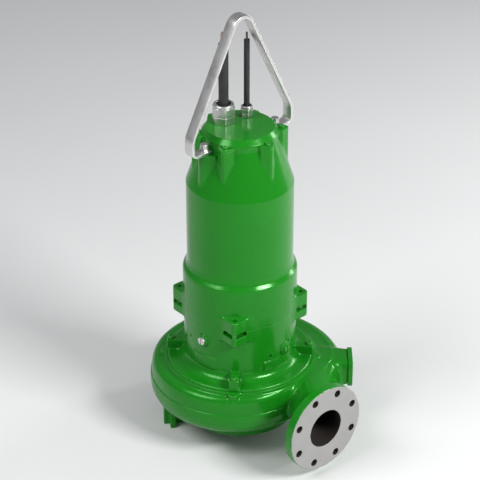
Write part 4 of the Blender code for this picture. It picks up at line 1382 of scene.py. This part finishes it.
def facing_out(turn, radius, height):
    """A place at this turn, with its own up pointing outward."""
    tilt = on_circle(turn, 1.0).to_track_quat("Z", "Y").to_matrix().to_4x4()
    return Matrix.Translation(on_circle(turn, radius, height)) @ tilt


def screws_and_bolts():
    """The screws and bolts in their circles, and the two plugs."""
    upside_down = Matrix.Rotation(math.pi, 4, "X")
    washer_top = BOSS_TOP + GAP + BAIL_THICK + 2 * GAP + BAIL_WASHER_THICK
    for name, head, count, radius, first_turn, where, finish, slot, nodes, loose, seed in (
        ("lid_screws", socket_head(*LID_HEAD), LID_SCREWS, LID_SCREW_CIRCLE_R, 30.0,
         raised(LID_EAR_TOP + GAP), GREEN, "green_paint", numbered("lid_screw", LID_SCREWS), 30.0, 3),
        ("clamp_bolts", hexagon_head(*CLAMP_HEAD), 4, CLAMP_BOLT_R, 45.0,
         raised(CLAMP_LUG_TOP + GAP), GREEN, "green_paint", numbered("clamp_bolt", 4), 30.0, 5),
        ("housing_bolts", hexagon_head(*HOUSING_HEAD), 4, LUG_BOLT_R, 45.0,
         raised(LUG_BOTTOM - GAP) @ upside_down, FITTING_STEEL, "stainless",
         numbered("housing_bolt", 4), 30.0, 7),
        ("port_screws", socket_head(*PORT_HEAD), 4, PORT_SCREW_REACH * math.sqrt(2.0), 45.0,
         facing_out(PORT_TURN, PORT_REACH - PORT_HEAD_SUNK, PORT_Z), GREEN, "green_paint",
         numbered("port_screw", 4), 30.0, 11),
        ("bail_bolts", hexagon_head(*BAIL_HEAD), 2, BAIL_BOLT_X, 0.0,
         raised(washer_top), FITTING_STEEL, "stainless", ["bail_bolt_left", "bail_bolt_right"], 20.0, 13),
    ):
        set_out(name, head, count, radius, first_turn, where, finish, slot, nodes, loose, seed)
    for name, turn, height, finish, slot in PLUGS:
        mesh = slotted_plug(f"{name}_piece")
        mesh.transform(TO_FRAME @ facing_out(turn, PLUG_FACE_R + GAP, height))
        mesh.materials.clear()
        piece(f"{name}_piece", mesh, [finish], slot, name)


screws_and_bolts()


# Glands


def gland_fields(stub):
    """The gland's body, nut and seal as fields about its own axis."""
    gland_r, collar, nut_top = stub.gland_r, stub.collar, stub.nut_top
    seal_r = stub.cable_r + (gland_r - stub.cable_r) * SEAL_SHARE

    def around(x, y):
        return np.hypot(x - stub.at[0], y - stub.at[1])

    def six_flats(x, y):
        flats = hexagon(x - stub.at[0], y - stub.at[1], gland_r)
        return common(flats, around(x, y) - gland_r * GLAND_TURNED, 0.001)

    def hole(x, y, z, radius):
        return capped(around(x, y) - radius - GAP, level(z, collar - 0.01, nut_top + 0.01))

    def body(x, y, z):
        return capped(six_flats(x, y), level(z, LID_TOP + GAP, collar - GAP), 0.0008)

    def nut(x, y, z):
        lower = capped(six_flats(x, y), level(z, collar, nut_top - 0.008), 0.0006)
        dome = capped(around(x, y) - gland_r * GLAND_DOME, level(z, collar + 0.002, nut_top), 0.0042)
        return less(united(lower, dome, 0.001), hole(x, y, z, seal_r), 0.0012)

    def seal(x, y, z):
        ring = capped(around(x, y) - seal_r, level(z, collar, nut_top - 0.0035), 0.0012)
        return less(ring, hole(x, y, z, stub.cable_r), 0.0012)

    return body, nut, seal


def glands():
    """Both glands, each as a body, a nut and a seal."""
    steel = (FITTING_STEEL, "stainless")
    parts = (("body", *steel), ("nut", *steel), ("seal", RUBBER, "cable_rubber"))
    for stub in (POWER, CONTROL):
        reach = stub.gland_r + 0.004
        low = (stub.at[0] - reach, stub.at[1] - reach, LID_TOP - 0.004)
        high = (stub.at[0] + reach, stub.at[1] + reach, stub.nut_top + 0.004)
        for (part, finish, slot), field in zip(parts, gland_fields(stub)):
            name = f"{stub.name}_gland_{part}"
            casting(f"{name}_piece", field, low, high, stub.gland_r / 28, name, 0.4, slot, [finish])


glands()


# Cables


def cable(name, node, radius, at, bottom, top, finish, slot, sides=8):
    """A straight stub as a curve with a round section and closed ends."""
    curve = bpy.data.curves.new(name, "CURVE")
    curve.dimensions = "3D"
    curve.bevel_depth = radius
    curve.bevel_resolution = sides
    curve.use_fill_caps = True
    spline = curve.splines.new("POLY")
    steps = max(2, round((top - bottom) / (2 * radius)))
    spline.points.add(steps)
    foot = in_frame((*at, bottom))
    for index, point in enumerate(spline.points):
        point.co = (foot.x, foot.y, bottom + (top - bottom) * index / steps, 1.0)
    return piece(name, curve, [finish], slot, node)


def cables():
    """Both stubs, with the bare ends of their cores."""
    cores = []
    for number, (name, turn, tone) in enumerate(CORES, 1):
        spot = on_circle(turn, CORE_SPREAD)
        at = (POWER.at[0] + spot.x, POWER.at[1] + spot.y)
        node, finish = f"power_conductor_{number}", core_colour(name, tone)
        cores.append(cable(name, node, CORE_R, at, POWER.end + GAP, CORE_END, finish, "core_colours", 5))
    sheaths = [
        cable(
            f"{stub.name}_stub", f"{stub.name}_cable", stub.cable_r, stub.at, stub.collar, stub.end, RUBBER,
            "cable_rubber",
        )
        for stub in (POWER, CONTROL)
    ]
    grey = core_colour("control_core_grey", (0.115, 0.100, 0.080), 0.0)
    core = cable(
        "control_core_piece", "control_core", CORE_R, CONTROL.at, CONTROL.end + GAP, CONTROL_CORE_END, grey,
        "cable_rubber", 5,
    )
    for sheath, stub, ends in zip(sheaths, (POWER, CONTROL), (cores, [core])):
        in_frame((*stub.at, stub.collar))


cables()


# CAD nodes whose shape is right


def carry(material, *names):
    """Gives these CAD nodes a finish."""
    for name in names:
        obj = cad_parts[name]
        obj.data.materials.clear()
        obj.data.materials.append(material)


carry(GREEN, "impeller")
carry(FITTING_STEEL, "wear_ring", "impeller_nut", "bail_washer_left", "bail_washer_right")


# Floor, light and camera


def floor():
    """A plain pale floor that reaches past the view."""
    finish = Finish("pale_floor", Specular_IOR_Level=0.2)
    mottle = finish.noise(1.5, 3.0)
    finish.colour_and_roughness(finish.blend(mottle, (0.70, 0.70, 0.70), (0.74, 0.74, 0.74)), 0.75 + mottle * 0.05)
    corners = [(FLOOR_HALF * x, FLOOR_HALF * y, 0.0) for x, y in ((-1, -1), (1, -1), (1, 1), (-1, 1))]
    mesh = bpy.data.meshes.new("floor")
    mesh.from_pydata(corners, [], [(0, 1, 2, 3)])
    mesh.materials.append(finish.material)
    in_scene("floor", mesh)


def softbox(name, at, size, power):
    """A soft light of this width and height in metres, aimed at the pump's middle."""
    light = bpy.data.lights.new(name, "AREA")
    light.shape = "RECTANGLE"
    light.size, light.size_y = size
    light.energy = power
    obj = in_scene(name, light)
    obj.location = at
    obj.rotation_euler = (LIGHT_AIM - Vector(at)).to_track_quat("-Z", "Y").to_euler()


def light_and_camera():
    """A pale room, three soft lights and the photograph's camera."""
    world = bpy.data.worlds.new("studio")
    world.use_nodes = True
    backdrop = world.node_tree.nodes["Background"]
    backdrop.inputs["Color"].default_value = (0.80, 0.82, 0.85, 1.0)
    backdrop.inputs["Strength"].default_value = 0.34
    bpy.context.scene.world = world
    softbox("left_box", (-2.7, 0.5, 3.4), (2.0, 1.6), 85.0)
    softbox("front_box", (0.75, -3.5, 3.2), (1.7, 0.55), 190.0)
    softbox("right_strip", (3.4, -0.6, 1.5), (0.5, 2.4), 50.0)

    camera = bpy.data.cameras.new("camera")
    camera.lens = CAMERA_LENS
    camera.sensor_width = SENSOR_WIDTH
    camera.clip_end = 100.0
    obj = in_scene("camera", camera)
    pitch = math.radians(CAMERA_PITCH)
    back = Vector((*(CAMERA_PLAN * math.cos(pitch)), math.sin(pitch)))
    obj.location = in_frame((0.0, 0.0, AIM_Z)) + back * CAMERA_AWAY
    obj.rotation_euler = (-back).to_track_quat("-Z", "Y").to_euler()
    bpy.context.scene.camera = obj
    bpy.context.scene.view_settings.view_transform = "Standard"


floor()
light_and_camera()
